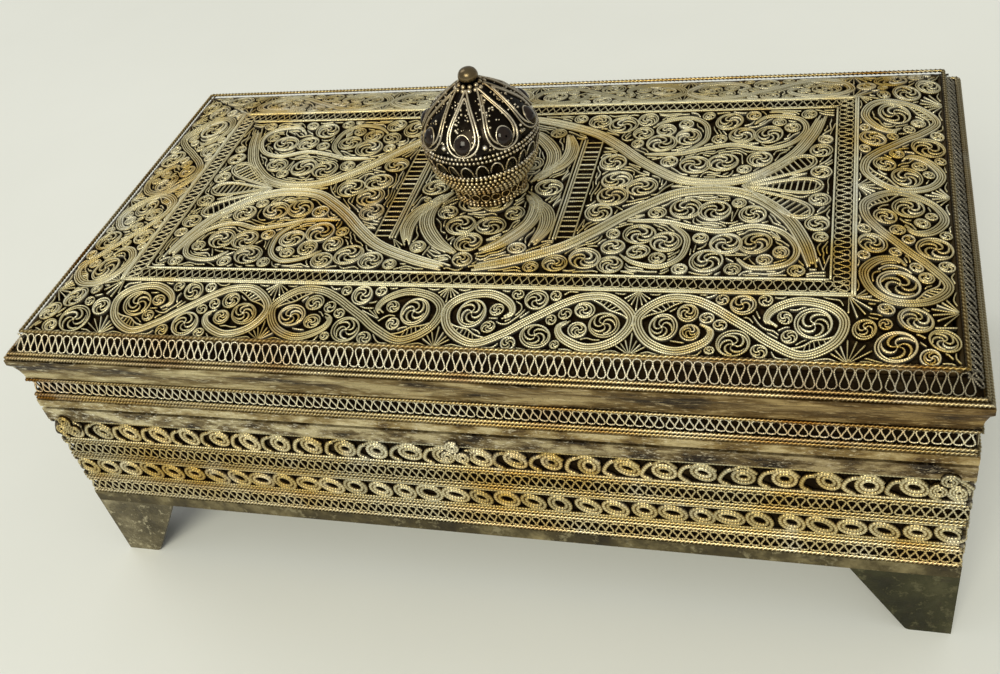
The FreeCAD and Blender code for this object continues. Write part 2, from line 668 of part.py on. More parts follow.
# Lid: border of S-scrolls, sloping up to the frame
def s_scroll(left, right, height, flip, width):
    """S-shaped stem: two loops joined by a slanting run"""
    radius = min(height * LOOP_RADIUS_SHARE, (right - left) * LOOP_STEP_SHARE)
    first = (left + radius + width / 2, radius + width / 2)
    second = (right - radius - width / 2, height - radius - width / 2)
    gap = math.hypot(second[0] - first[0], second[1] - first[1])
    line = math.degrees(math.atan2(second[1] - first[1], second[0] - first[0]))
    tangent = line + math.degrees(math.asin(2 * radius / gap))
    leave = math.radians(tangent - 90)
    depart = (first[0] + radius * math.cos(leave), first[1] + radius * math.sin(leave))
    arrive = (second[0] - radius * math.cos(leave), second[1] - radius * math.sin(leave))
    faces = [
        sector(first, radius, LOOP_START - 360, tangent - 90, width),
        stem_along([depart, arrive], width),
        sector(second, radius, LOOP_START - 180, tangent + 90, width),
    ]
    if flip:
        middle = Vector((left + right) / 2, 0, 0)
        faces = [face.mirror(middle, Vector(1, 0, 0)) for face in faces]
    return faces


def border_plate(low_half, high_half, height, count):
    """Border panel: two rails, slanted ends and a row of S-scrolls, mirrored in turn"""
    rail = size("rail_width")
    stem = size("stem_width")
    opening = loop_of(trapezium(low_half, high_half, height, rail))
    faces = [flat_face(loop_of(trapezium(low_half, high_half, height)), [opening])]
    reach = high_half * (1 - LOOP_CORNER_SHARE)
    step = 2 * reach / count
    for index in range(count):
        left = -reach + index * step
        faces += s_scroll(left, left + step, height, index % 2 == 0, stem)
    return soldered(faces, panel)


for side in SIDES:
    low_half, high_half, run, tilt = border_lie(side)
    slope = math.hypot(size("border_rise"), run)
    start = panel * math.tan((bevel_tilt - tilt) / 2)
    end = slope - panel * math.tan(tilt)
    narrowing = (low_half - high_half) / slope
    shorten = panel * math.sin(tilt) * (low_half - high_half) / run
    count = FRONT_SCROLL_COUNT if side in LONG_SIDES else END_SCROLL_COUNT
    plate = border_plate(low_half - shorten - start * narrowing, low_half - shorten - end * narrowing,
                         end - start, count)
    away = side_run(side, size("bevel_run"))[1]
    place = leaning(side, away, edge_z, math.degrees(tilt), start)
    keep(shaped(side + "_border", plate, place), side + "_border_panel")

# Liner sheets behind the bevel and the border
deep = value(LINER_DEPTH)
liner = size("liner_thickness")
bevel_in = deep / math.sin(bevel_tilt)
bevel_in_far = (deep + liner) / math.sin(bevel_tilt)
border_down = deep / math.cos(math.atan2(size("border_rise"), edge_y - frame_y))
border_liner = [
    (edge_x - bevel_in, edge_y - bevel_in, edge_z - border_down),
    (frame_x, frame_y, value(TOP_Z) - border_down),
    (frame_x, frame_y, value(TOP_Z) - border_down - liner),
    (edge_x - bevel_in, edge_y - bevel_in, edge_z - border_down - liner),
]
border_sheets = Part.makeCompound([mitred_strip(side, border_liner) for side in SIDES])
keep(shaped("border_sheets", border_sheets), "border_liner")
bevel_top = edge_z - border_down - liner - size("liner_gap")
bevel_rise = value(BEVEL_Z) - bevel_top
bevel_liner = []
for inset, height in ((bevel_in, value(BEVEL_Z)), (bevel_in - bevel_rise, bevel_top),
                      (bevel_in_far - bevel_rise, bevel_top), (bevel_in_far, value(BEVEL_Z))):
    bevel_liner.append(ring_point(inset, height))
bevel_sheets = Part.makeCompound([mitred_strip(side, bevel_liner) for side in SIDES])
keep(shaped("bevel_sheets", bevel_sheets), "bevel_liner")

# Lid: lattice strips of the frame round the centre panel
band = size("frame_band")
for_frame = []
for side in SIDES:
    half, away = (frame_x, frame_y) if side in LONG_SIDES else (frame_y, frame_x)
    strip = lattice_plate(half, half - band, band, panel)
    strip.Placement = leaning(side, away, value(TOP_Z), 0)
    for_frame.append(strip)
keep(shaped("frame_lattice", Part.makeCompound(for_frame)), "frame_strips")


# Lid: centre panel of scrollwork round the seat of the knob
def petal(tip_angle, start, length, half_width, width):
    """Long teardrop that opens away from the pinch"""
    turn = math.radians(tip_angle)
    ahead = (math.cos(turn), math.sin(turn))
    centre = (start[0] + ahead[0] * (length - half_width), start[1] + ahead[1] * (length - half_width))
    spread = math.degrees(math.acos(half_width / (length - half_width)))
    faces = [sector(centre, half_width, tip_angle - 180 + spread, tip_angle + 180 - spread, width)]
    for sign in (-1, 1):
        side = math.radians(tip_angle + sign * (180 - spread))
        touch = (centre[0] + half_width * math.cos(side), centre[1] + half_width * math.sin(side))
        faces.append(stem_along([start, touch], width))
    return faces


def quarter_scrolls(half_x, half_y):
    """Stems and rosettes of the quarter with +X and +Y"""
    def place(share):
        return half_x * share[0], half_y * share[1]

    faces = [stem_along([place(share) for share in OGEE_SHARES], size("main_stem_width"))]
    for shares in (LEAF_SHARES, LOBE_SHARES):
        faces.append(stem_along([place(share) for share in shares], size("stem_width")))
    for share in ROSETTE_SHARES:
        faces.append(Part.Face(many_sided(place(share), size("rosette_diameter") / 2, ROSETTE_SIDES)))
    return faces


def ladder(place, reach, wide, rail):
    """Two side strips with rungs between them"""
    faces = []
    for edge in (-wide / 2, wide / 2):
        faces.append(stem_along([(place + edge, -reach), (place + edge, reach)], rail))
    for index in range(LADDER_RUNGS):
        level = -reach + 2 * reach * (index + 0.5) / LADDER_RUNGS
        faces.append(stem_along([(place - wide / 2, level), (place + wide / 2, level)], rail))
    return faces


def centre_plate():
    """Stems, petals, ladders, rosettes and the knob's seat, standing out from a web of fine wirework"""
    half_x, half_y = frame_x - band, frame_y - band
    rail = size("rail_width")
    outline = [(-half_x, -half_y), (half_x, -half_y), (half_x, half_y), (-half_x, half_y)]
    opening = [(math.copysign(abs(x) - rail, x), math.copysign(abs(y) - rail, y)) for x, y in outline]
    faces = [flat_face(loop_of(outline), [loop_of(opening)])]
    faces.append(Part.Face(many_sided((0, 0), size("seat_diameter") / 2, ROUND_SIDES)))
    quarter = quarter_scrolls(half_x, half_y)
    for flip_x in (False, True):
        for flip_y in (False, True):
            for face in quarter:
                twin = face.mirror(Vector(), Vector(1, 0, 0)) if flip_x else face.copy()
                faces.append(twin.mirror(Vector(), Vector(0, 1, 0)) if flip_y else twin)
    for sign in (-1, 1):
        start = (sign * half_x * PETAL_ROOT_SHARE, 0)
        for lean, length_share in zip(PETAL_LEANS, PETAL_LENGTH_SHARES):
            angle = lean if sign > 0 else lean + 180
            length = half_x * (1 - PETAL_ROOT_SHARE) * length_share
            faces += petal(angle, start, length, half_y * PETAL_WIDTH_SHARE, rail)
        place = sign * half_x * LADDER_PLACE_SHARE
        faces += ladder(place, half_y * LADDER_REACH_SHARE, half_x * LADDER_WIDTH_SHARE, rail)
    web_depth = panel - size("web_drop")
    web = Part.Face(loop_of(outline)).extrude(Vector(0, 0, -web_depth))
    web.translate(Vector(0, 0, -size("web_drop")))
    stud_hole = Part.makeCylinder(value(STUD_HOLE), panel, Vector(0, 0, -panel))
    return web.fuse(soldered(faces, panel)).cut(stud_hole).removeSplitter().Solids[0]


keep(shaped("centre", centre_plate(), Placement(Vector(0, 0, value(TOP_Z)), Rotation())), "centre_panel")
ceiling = bound("Part::Box", "ceiling_sheet", Length="2 * " + FRAME_X, Width="2 * " + FRAME_Y,
                Height="sizes.liner_thickness")
put(ceiling, "-" + FRAME_X, "-" + FRAME_Y, CEILING_Z)
ceiling_hole = bound("Part::Cylinder", "ceiling_hole", Radius=STUD_HOLE, Height="2 * sizes.liner_thickness")
put(ceiling_hole, z="%s - sizes.liner_thickness / 2" % CEILING_Z)
keep(cut("ceiling", ceiling, ceiling_hole), "centre_liner")

# Lid: twisted wires along the bevel and the skirt
def wires_at(name, inset, level):
    """Ring of wires whose middle is set in from the bevel edge"""
    along, away = ["(sizes.box_%s / 2 - (%s))" % (length, inset) for length in ("length", "width")]
    return wire_ring(name, along, away, level)


EDGE_OUT, EDGE_UP = ["%s * %s" % (WIRE_RADIUS, share) for share in EDGE_WIRE_SHARES]
SKIRT_WIRE = "sizes.skirt_inset - %s" % WIRE_FLAT
lid_wires = wires_at("edge_wire", "sizes.bevel_run - %s" % EDGE_OUT, "%s + %s" % (EDGE_Z, EDGE_UP))
lid_wires += wires_at("bevel_wire", WIRE_RADIUS, "%s + %s" % (BEVEL_Z, WIRE_RADIUS))
lid_wires += wires_at("skirt_top_wire", SKIRT_WIRE, "%s - %s" % (MOULDING_Z, WIRE_RADIUS))
LOW_WIRE_Z = "%s + %s" % (SKIRT_Z, WIRE_RADIUS)
lid_wires += wires_at("skirt_low_wire", SKIRT_WIRE, LOW_WIRE_Z)
lid_wires += wires_at("skirt_second_wire", SKIRT_WIRE, LOW_WIRE_Z + " + sizes.wire_diameter")
keep(group("lid_wires", lid_wires), "lid_twisted_wires")

# Knob: collar, bowl, dome of petals with stones, ball; stud and nut
BOWL_Z = "(%s + sizes.collar_height)" % TOP_Z
DOME_Z = "(%s + sizes.bowl_height)" % BOWL_Z
BALL_Z = "(%s + sizes.dome_height)" % DOME_Z


def gores(levels, sides):
    """Closed form of flat-sided gores through rings of corners; a level is a radius and a height"""
    rings = []
    for radius, height in levels:
        ring = []
        for index in range(sides):
            turn = 2 * math.pi * (index + 0.5) / sides
            ring.append(Vector(radius * math.cos(turn), radius * math.sin(turn), height))
        rings.append(ring)
    return flat_sided(rings)


def on_axis(name, shape, level):
    return shaped(name, shape, Placement(Vector(0, 0, value(level)), Rotation()))


collar_radius = size("collar_diameter") / 2
dome_radius = size("dome_diameter") / 2
collar = gores([(collar_radius, 0), (collar_radius, size("collar_height"))], ROUND_SIDES)
keep(on_axis("collar", collar, TOP_Z), "knob_collar")
bowl_levels = [(dome_radius * out, size("bowl_height") * up) for up, out in BOWL_SHARES]
keep(on_axis("bowl", gores(bowl_levels, ROUND_SIDES), BOWL_Z), "knob_bowl")
dome_levels = []
for up_share, out_share in DOME_SHARES:
    radius = dome_radius * out_share if out_share else size("crown_diameter") / 2
    dome_levels.append((radius, size("dome_height") * up_share))
dome = gores(dome_levels, PETALS)
stone_level = size("dome_height") * STONE_LEVEL_SHARE
apothem = dome_radius * math.cos(math.pi / PETALS)
stone_face = Part.Face(many_sided((0, 0), size("stone_diameter") / 2, STONE_SIDES))
stones = []
for index in range(PETALS):
    stone = stone_face.extrude(Vector(0, 0, size("stone_height")))
    seat = Vector(0, apothem - size("stone_height"), stone_level)
    around = Placement(Vector(), Rotation(Vector(0, 0, 1), 360 * index / PETALS))
    stone.Placement = around.multiply(Placement(seat, Rotation(Vector(1, 0, 0), -UPRIGHT)))
    stones.append(stone)
keep(on_axis("dome", dome.cut(stones), DOME_Z), "knob_dome")
keep(on_axis("stones", Part.makeCompound(stones), DOME_Z), "knob_stones")
ball_levels = [(size("ball_diameter") / 2 * out, size("ball_diameter") * up) for up, out in BALL_SHARES]
keep(on_axis("ball", gores(ball_levels, PETALS), BALL_Z), "knob_ball")
NUT_Z = "(%s - sizes.nut_height)" % CEILING_Z
TAIL_Z = "(%s - sizes.stud_tail)" % NUT_Z
stud = bound("Part::Cylinder", "stud", Radius="sizes.stud_diameter / 2", Height="%s - %s" % (TOP_Z, TAIL_Z))
keep(put(stud, z=TAIL_Z), "knob_stud")
nut_blank = bound("Part::Prism", "nut_blank", Circumradius="sizes.nut_diameter / 2",
                  Height="sizes.nut_height")
nut_hole = bound("Part::Cylinder", "nut_hole", Radius=STUD_HOLE, Height="sizes.nut_height")
keep(cut("nut", put(nut_blank, z=NUT_Z), put(nut_hole, z=NUT_Z)), "knob_nut")

# Check everything, then write one file per sub-part
doc.recompute()
for part in doc.Objects:
    if "Invalid" in part.State or "Error" in part.State:
        raise RuntimeError("%s failed: %s" % (part.Name, part.State))
for part in nodes:
    if part.Shape.isNull() or not part.Shape.isValid() or not part.Shape.Solids:
        raise RuntimeError("%s has no valid solid" % part.Label)
os.makedirs("parts", exist_ok=True)
for part in nodes:
    part.Shape.exportStep("parts/%s.step" % part.Label)
print("%d sub-parts, %d solids" % (len(nodes), sum(len(part.Shape.Solids) for part in nodes)))
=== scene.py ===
"""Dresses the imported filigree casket: openwork, twisted wires, knob, metal finishes, light and camera."""

import math

import bpy
import numpy as np
from mathutils import Matrix, Vector


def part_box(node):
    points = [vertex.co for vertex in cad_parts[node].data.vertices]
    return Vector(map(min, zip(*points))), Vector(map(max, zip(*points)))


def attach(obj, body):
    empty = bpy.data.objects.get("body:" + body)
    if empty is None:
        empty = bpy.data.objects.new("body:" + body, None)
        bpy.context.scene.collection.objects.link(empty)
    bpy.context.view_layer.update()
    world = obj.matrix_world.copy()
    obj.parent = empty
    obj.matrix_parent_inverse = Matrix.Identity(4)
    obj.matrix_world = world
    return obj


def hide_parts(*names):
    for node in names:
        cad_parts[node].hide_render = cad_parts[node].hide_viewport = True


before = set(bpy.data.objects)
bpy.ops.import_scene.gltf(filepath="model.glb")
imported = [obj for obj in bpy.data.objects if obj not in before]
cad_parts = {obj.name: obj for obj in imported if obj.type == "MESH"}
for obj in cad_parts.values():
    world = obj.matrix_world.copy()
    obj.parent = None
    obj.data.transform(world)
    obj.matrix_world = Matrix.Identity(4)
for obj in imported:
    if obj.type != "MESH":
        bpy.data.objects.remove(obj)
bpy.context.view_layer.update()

# Lengths of the pieces are in millimetres and turn into metres when a piece is made
MM = 0.001
UP = np.array((0.0, 0.0, 1.0))
TURN = 2 * math.pi
SIDES = ("front", "right", "back", "left")
ALONG = np.array(((1, 0, 0), (0, 1, 0), (-1, 0, 0), (0, -1, 0)), float)
OUT = np.array(((0, -1, 0), (1, 0, 0), (0, 1, 0), (-1, 0, 0)), float)

luck = np.random.default_rng(7)


def span(node):
    """Lowest and highest corner of a node of the solid model."""
    low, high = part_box(node)
    return np.array(low) / MM, np.array(high) / MM


# Places taken from the solid model
BEVEL_RUN = 3.7
rim_low, rim_high = span("rim_strips")
skirt_low, skirt_high = span("front_skirt_panel")
moulding_low, moulding_high = span("front_moulding")
centre_high = span("centre_panel")[1]
plinth_top = span("plinth_strips")[1][2]
frame_half = span("frame_strips")[1][:2]
wall_half = rim_high[:2]
wall_top = rim_low[2]
skirt_half = np.array((skirt_high[0], -skirt_low[1]))
lid_half = np.array((moulding_high[0], -moulding_low[1]))
centre_half = centre_high[:2]
lid_top = centre_high[2]
bevel_level = moulding_high[2]
edge_half = lid_half - BEVEL_RUN
edge_level = bevel_level + BEVEL_RUN

# Sizes named _WIRE are a width, a sink (how far the top lies below the panel's face) and perhaps a height
STEP = 0.5
FINE_STEP = 0.24
STEM_WIDTH = 0.36
WIRE_HIGH = 0.8
WIRE_SECTION_SHARES = np.array(((-0.5, 0.0), (-0.45, 0.75), (0.0, 1.0), (0.45, 0.75), (0.5, 0.0)))
STRIP_SECTION_SHARES = np.array(((-0.5, 0.0), (-0.48, 0.94), (0.0, 1.0), (0.48, 0.94), (0.5, 0.0)))
STRIP_STEP = 1.5
WIRE_CAP = np.array(((0, 1, 2), (0, 2, 3), (0, 3, 4)))
CURVE_POINTS = 24


class Store:
    """Points, triangles and three values per point of one piece: height share, tint and run. The materials
    paint the height share as shade low down and highlight on top.
    """

    def __init__(self):
        self.points = []
        self.triangles = []
        self.values = []
        self.count = 0

    def add(self, points, triangles, high, tint=0.0, run=0.0):
        """Takes up points, in a list or a grid, with their triangles and values."""
        values = np.empty(points.shape)
        for axis, value in enumerate((high, tint, run)):
            values[..., axis] = value
        self.points.append(points.reshape(-1, 3))
        self.triangles.append(triangles + self.count)
        self.values.append(values.reshape(-1, 3))
        self.count += len(self.points[-1])

    def take(self, part, origin, axes):
        """Takes up another store, moved to its place."""
        self.points += [points @ axes + origin for points in part.points]
        self.triangles += [triangles + self.count for triangles in part.triangles]
        self.values += part.values
        self.count += part.count


def unit(vectors):
    """Vectors brought to length one."""
    return vectors / np.maximum(np.linalg.norm(vectors, axis=-1, keepdims=True), 1e-9)


def toward(angle):
    """A flat direction of length one."""
    return np.array((math.cos(angle), math.sin(angle)))


def around(count):
    """Even angles round a circle."""
    return np.linspace(0.0, TURN, count, endpoint=False)


def polar(reach, angle):
    """Flat points from their reaches and angles."""
    return np.column_stack((reach * np.cos(angle), reach * np.sin(angle)))


def spin():
    """A random angle to start from and a random hand, 1 or -1."""
    turn = luck.random() * TURN
    hand = 1 if luck.random() < 0.5 else -1
    return turn, hand


def sheet_triangles(rows, columns, rows_closed=False, columns_closed=False):
    """Triangles of a grid of points, row by row."""
    first = np.arange(rows if rows_closed else rows - 1)
    second = np.arange(columns if columns_closed else columns - 1)
    row, column = np.meshgrid(first, second, indexing="ij")
    ahead = (row + 1) % rows
    beside = (column + 1) % columns
    a = row * columns + column
    b = ahead * columns + column
    c = ahead * columns + beside
    d = row * columns + beside
    lower = np.stack((a, b, c), axis=-1).reshape(-1, 3)
    upper = np.stack((a, c, d), axis=-1).reshape(-1, 3)
    return np.vstack((lower, upper))


def ring_triangles(rows, columns, rows_closed=False):
    """Triangles of rings one above the other, facing out."""
    return sheet_triangles(rows, columns, rows_closed, True)[:, ::-1]


def run_of(path):
    """Length along a path at each of its points."""
    legs = np.linalg.norm(np.diff(path, axis=0), axis=1)
    return np.concatenate(((0.0,), np.cumsum(legs)))


def even(path, step=STEP):
    """The same path in even steps."""
    path = np.asarray(path, float)
    run = run_of(path)
    marks = np.linspace(0.0, run[-1], max(int(round(run[-1] / step)), 2) + 1)
    return np.column_stack([np.interp(marks, run, path[:, axis]) for axis in range(path.shape[1])])


def smooth(knots, step=STEP):
    """A smooth curve through the knots, in even steps."""
    knots = np.asarray(knots, float)
    ends = np.vstack((2 * knots[0] - knots[1], knots, 2 * knots[-1] - knots[-2]))
    t = np.linspace(0.0, 1.0, CURVE_POINTS, endpoint=False)[:, None]
    parts = []
    for a, b, c, d in zip(ends, ends[1:], ends[2:], ends[3:]):
        bend = (2 * a - 5 * b + 4 * c - d) * t**2 + (3 * b - a - 3 * c + d) * t**3
        parts.append(b + 0.5 * ((c - a) * t + bend))
    return even(np.vstack(parts + [knots[-1:]]), step)


def arc(centre, radii, start, sweep, step):
    """An arc whose radius changes evenly from its start to its end."""
    count = max(int(abs(sweep) * np.mean(radii) / step), 6) + 1
    return np.asarray(centre) + polar(np.linspace(*radii, count), np.linspace(start, start + sweep, count))


def ellipse(centre, half_wide, half_high, step=FINE_STEP):
    """A closed ring, without its last point."""
    angle = around(max(int(math.pi * (half_wide + half_high) / step), 8))
    return np.asarray(centre) + polar(1.0, angle) * (half_wide, half_high)


def loop_path(half, step, first=0):
    """A closed way round a rectangle, in even steps, from the front right corner or one further on."""
    corners = np.roll(((1, -1), (1, 1), (-1, 1), (-1, -1)), -first, 0) * half
    legs = []
    for start, end in zip(corners, np.roll(corners, -1, 0)):
        count = int(round(np.linalg.norm(end - start) / step))
        share = np.linspace(0.0, 1.0, count, endpoint=False)[:, None]
        legs.append(start + (end - start) * share)
    return np.vstack(legs)


def ahead_of(path, closed):
    """Directions along a path, not yet of length one."""
    return np.roll(path, -1, 0) - np.roll(path, 1, 0) if closed else np.gradient(path, axis=0)


def aside_of(path, closed=False):
    """Directions square to a flat path."""
    ahead = unit(ahead_of(path, closed))
    return np.column_stack((-ahead[:, 1], ahead[:, 0]))


def wire(store, path, width, sink=0.0, high=WIRE_HIGH, closed=False, up=UP, section=WIRE_SECTION_SHARES):
    """A wire on edge with a rounded top. A flat path lies in the panel's plane."""
    if path.shape[1] == 2:
        path = np.column_stack((path, np.full(len(path), -sink - high)))
    up = np.broadcast_to(up, path.shape)
    aside = unit(np.cross(up, ahead_of(path, closed)))
    width = np.broadcast_to(np.asarray(width, float), len(path))
    across, rise = section.T
    points = path[:, None] + aside[:, None] * (across * width[:, None])[..., None]
    points = points + up[:, None] * (rise * high)[None, :, None]
    triangles = sheet_triangles(len(path), len(section), closed)
    if not closed:
        last = (len(path) - 1) * len(section)
        triangles = np.vstack((triangles, WIRE_CAP, last + WIRE_CAP[:, ::-1]))
    # Each point's rise is its height value, which the materials paint as shade at the foot and highlight on
    # top.
    store.add(points, triangles, rise, luck.random(), run_of(path)[:, None])


def strip(store, start, end, width):
    """A plain flat strip."""
    wire(store, even((start, end), STRIP_STEP), width, section=STRIP_SECTION_SHARES)


ROPE_RADIUS = 0.4
ROPE_POINTS = 6
ROPE_WAIST_SHARE = 0.45


def rope_loop(store, half, level, bead):
    """Two twisted strands round a rectangle, at one level."""
    step = bead / 3
    path = loop_path(half, step)
    outward = -aside_of(path, closed=True)
    run = np.arange(len(path))[:, None] * step
    turn = around(ROPE_POINTS)
    angle = turn + math.pi * run / bead
    # Height values peak on the lobes and drop at the waist: painted highlight on the lobes, painted shade
    # at the waist.
    high = np.abs(np.cos(turn))
    lobe = ROPE_RADIUS * (ROPE_WAIST_SHARE + (1 - ROPE_WAIST_SHARE) * high)
    flat = path[:, None] + outward[:, None] * (lobe * np.cos(angle))[..., None]
    points = np.concatenate((flat, (level + lobe * np.sin(angle))[..., None]), axis=2)
    store.add(points, ring_triangles(len(path), ROPE_POINTS, True), high, luck.random(), run)


GRAIN_SIDES = 7
GRAIN_LEANS = (0.0, 0.6, 1.15)
# Height values of the grain's rings: painted shade at its foot, painted highlight at its crown.
GRAIN_HIGH_SHARES = (0.25, 0.7, 0.95)
ODD_WAY = (0.31, 0.87, 0.38)


def grain(store, centre, radius, normal=UP, squash=1.0):
    """A small soldered grain, a dome whose axis is the normal."""
    normal = unit(np.asarray(normal, float))
    side = unit(np.cross(normal, ODD_WAY))
    flat = polar(1.0, around(GRAIN_SIDES)) @ np.stack((side, np.cross(normal, side)))
    rings = [math.cos(lean) * flat + math.sin(lean) * squash * normal for lean in GRAIN_LEANS]
    points = np.vstack(rings + [squash * normal[None]]) * radius + centre
    top = len(points) - 1
    edge = top - GRAIN_SIDES + np.arange(GRAIN_SIDES)
    crown = np.column_stack((edge, np.roll(edge, -1), np.full(GRAIN_SIDES, top)))
    triangles = np.vstack((ring_triangles(len(rings), GRAIN_SIDES), crown))
    high = np.append(np.repeat(GRAIN_HIGH_SHARES, GRAIN_SIDES), 1.0)
    store.add(points, triangles, high, luck.random())


# Free room between the wires of a panel
GRID = 0.2
NEAR = 22
PANEL_MARGIN = 0.25
SETTLE_REACH = 1.4
SETTLE_COST_SHARE = 0.12
MARK_STEP = 0.4


class Panel(Store):
    """A store that knows how far each spot of its panel is from the nearest wire or edge."""

    def __init__(self, low_half, high_half, low, high):
        super().__init__()
        self.origin = np.array((-max(low_half, high_half), low))
        self.us = np.arange(self.origin[0], -self.origin[0], GRID)
        self.vs = np.arange(low, high, GRID)
        u, v = np.meshgrid(self.us, self.vs)
        lean = (high_half - low_half) / (high - low)
        sides = (low_half + lean * (v - low) - np.abs(u)) / math.hypot(1.0, lean)
        self.free = np.minimum(np.minimum(v - low, high - v) - PANEL_MARGIN, sides)

    def block(self, spot, radius):
        """Takes a disc out of the free room near a spot."""
        middle = ((np.asarray(spot) - self.origin) / GRID).round().astype(int)
        columns, rows = [slice(max(place - NEAR, 0), max(place + NEAR, 0)) for place in middle]
        du = self.us[columns] - spot[0]
        dv = self.vs[rows] - spot[1]
        gap = np.sqrt(du[None, :] ** 2 + dv[:, None] ** 2) - radius
        self.free[rows, columns] = np.minimum(self.free[rows, columns], gap)

    def mark(self, path, width):
        """Takes a wire out of the free room."""
        for spot in path:
            self.block(spot, width / 2)

    def room(self, spot):
        """Free room at a spot, between the points of the grid."""
        column = (spot[0] - self.origin[0]) / GRID
        row = (spot[1] - self.origin[1]) / GRID
        left = math.floor(column)
        low = math.floor(row)
        if not (0 <= low < len(self.vs) - 1 and 0 <= left < len(self.us) - 1):
            return -1.0
        (a, b), (c, d) = self.free[low : low + 2, left : left + 2]
        below = a + (b - a) * (column - left)
        above = c + (d - c) * (column - left)
        return below + (above - below) * (row - low)

    def widest(self):
        """The roomiest spot of all and its room."""
        row, column = np.unravel_index(self.free.argmax(), self.free.shape)
        return np.array((self.us[column], self.vs[row])), self.free[row, column]

    def settle(self, spot):
        """The roomiest spot near a wanted one and its room."""
        best = np.array(spot, float)
        room = self.room(best)
        shifts = np.arange(-SETTLE_REACH, SETTLE_REACH + GRID, GRID)
        for du in shifts:
            for dv in shifts:
                there = np.array((spot[0] + du, spot[1] + dv))
                here = self.room(there) - SETTLE_COST_SHARE * math.hypot(du, dv)
                if here > room:
                    room = here
                    best = there
        return best, self.room(best)


def draw(panel, path, width, sink=0.0):
    """A wire that also takes its room."""
    wire(panel, path, width, sink)
    panel.mark(even(path, MARK_STEP), width)


# Stems
STEM_PITCH = 0.4
STEM_EASE = 7.0
STEM_SINK = 0.07
STEM_STAGGER = 4
STEM_TIP_SHARE = 0.2


def bundle(panel, path, count, tip_share=STEM_TIP_SHARE, pitch=STEM_PITCH):
    """Wires side by side along a stem, drawn together at its ends."""
    run = run_of(path)
    ease = np.clip(np.minimum(run, run[-1] - run) / STEM_EASE, 0.0, 1.0)
    spread = tip_share + (1 - tip_share) * ease * (2 - ease)
    aside = aside_of(path)
    for number in range(count):
        shift = (number - (count - 1) / 2) * pitch
        cut = int(luck.integers(0, STEM_STAGGER))
        line = path + aside * (shift * spread)[:, None]
        draw(panel, line[cut : len(line) - cut], STEM_WIDTH, STEM_SINK * (number % 2))


# Volutes
BAND_PITCH = 0.27
BAND_WIDE = 0.3
BAND_DRIFT = 0.2
BAND_SINK = 0.05
TWO_BANDS_FROM = 1.3
FLATTEST_SHARE = 0.86
ARM_GAP = 0.02
ARM_SINK = 0.03
ARM_THIN = 0.15
ARM_SWELL_SHARE = 0.14
ARM_POINTS = 8
ARM_TWIST = 1.75
FOUR_ARMS_FROM = 0.9
FIVE_ARMS_FROM = 1.5
EYE_DROP = 0.3
EYE_SMALLEST = 0.16
EYE_SHARE = 0.09
CURL_WIRE = (0.28, 0.05)
CURL_INSET = 0.1
CURL_EYE_SHARE = 0.2
CURL_TURNS = 1.5
CURL_STEP = 0.16


def flattened(path, centre, lean, share):
    """A path drawn in towards a line through its centre."""
    way = toward(lean)
    offset = path - centre
    along = np.outer(offset @ way, way)
    return centre + along + share * (offset - along)


def rosette(panel, centre, radius):
    """A volute: a band of wires that part on one side, round a pinwheel of comma-shaped arms."""
    panel.block(centre, radius)
    turn, hand = spin()
    lean = luck.random() * TURN
    flat = luck.uniform(FLATTEST_SHARE, 1.0)
    bands = 2 if radius > TWO_BANDS_FROM else 1
    for number in range(bands):
        rim = radius - BAND_PITCH * (number + 0.5)
        if number:
            centre = centre - BAND_DRIFT * toward(turn)
        ring = flattened(ellipse(centre, rim, rim, STEP), centre, lean, flat)
        wire(panel, ring, BAND_WIDE, BAND_SINK * number, closed=True)
    inner = radius - BAND_PITCH * bands - ARM_GAP
    arms = 3 + (inner > FOUR_ARMS_FROM) + (inner > FIVE_ARMS_FROM)
    share = np.linspace(0.0, 1.0, ARM_POINTS)
    for number in range(arms):
        angle = turn + TURN * (number + luck.uniform(-0.1, 0.1)) / arms + hand * ARM_TWIST * share**1.4
        arm = centre + polar(inner * (0.08 + 0.9 * share**0.7), angle)
        thick = ARM_THIN + ARM_SWELL_SHARE * inner * np.sin(math.pi * share**1.5)
        wire(panel, flattened(arm, centre, lean, flat), thick, ARM_SINK)
    grain(panel, np.append(centre, -EYE_DROP), EYE_SMALLEST + EYE_SHARE * inner)


def curl(panel, centre, radius):
    """A small spiral."""
    turn, hand = spin()
    radii = (radius - CURL_INSET, CURL_EYE_SHARE * radius)
    wire(panel, arc(centre, radii, turn, hand * TURN * CURL_TURNS, CURL_STEP), *CURL_WIRE)
    panel.block(centre, radius)


# Strands that fill the gaps
GROW_STEP = 0.35
GROW_BENDS = (-0.3, 0.0, 0.3)
GROW_COST = 0.15
HAIR_ROOM = 0.27
HAIR_STRIDE = 0.45
HAIR_STEPS = 14
HAIR_BLOCK = 0.4
HAIR_WIRE = (0.24, 0.08)
FEATHERS = 9
FEATHER_LEAN = 1.15
FEATHER_STEPS = 16
FEATHER_GAP = 0.28
FEATHER_ROOM = 0.2
FEATHER_WIRE = (0.26, 0.06)
FEWEST_SPOTS = 4
RAY_STEP = 0.3
RAY_START = 0.6
RAY_ROOM = 0.12
RAY_WIDE = 0.16
RAY_SINK = 0.04
RAY_LANE = 0.6
SHORTEST_RAY = 1.3
SHORT_RAY_SHARE = 0.55
SPRAY_HEADINGS = 14
SPRAY_ROOM = 0.14
SPRAY_LONG = 5.0
SPRAY_BACK = 1.6
SPRAY_SPREAD = 0.95
SPRAY_RAYS = 5
SPRAY_BLOCK = 0.3
SHORTEST_SPRAY = 2.6


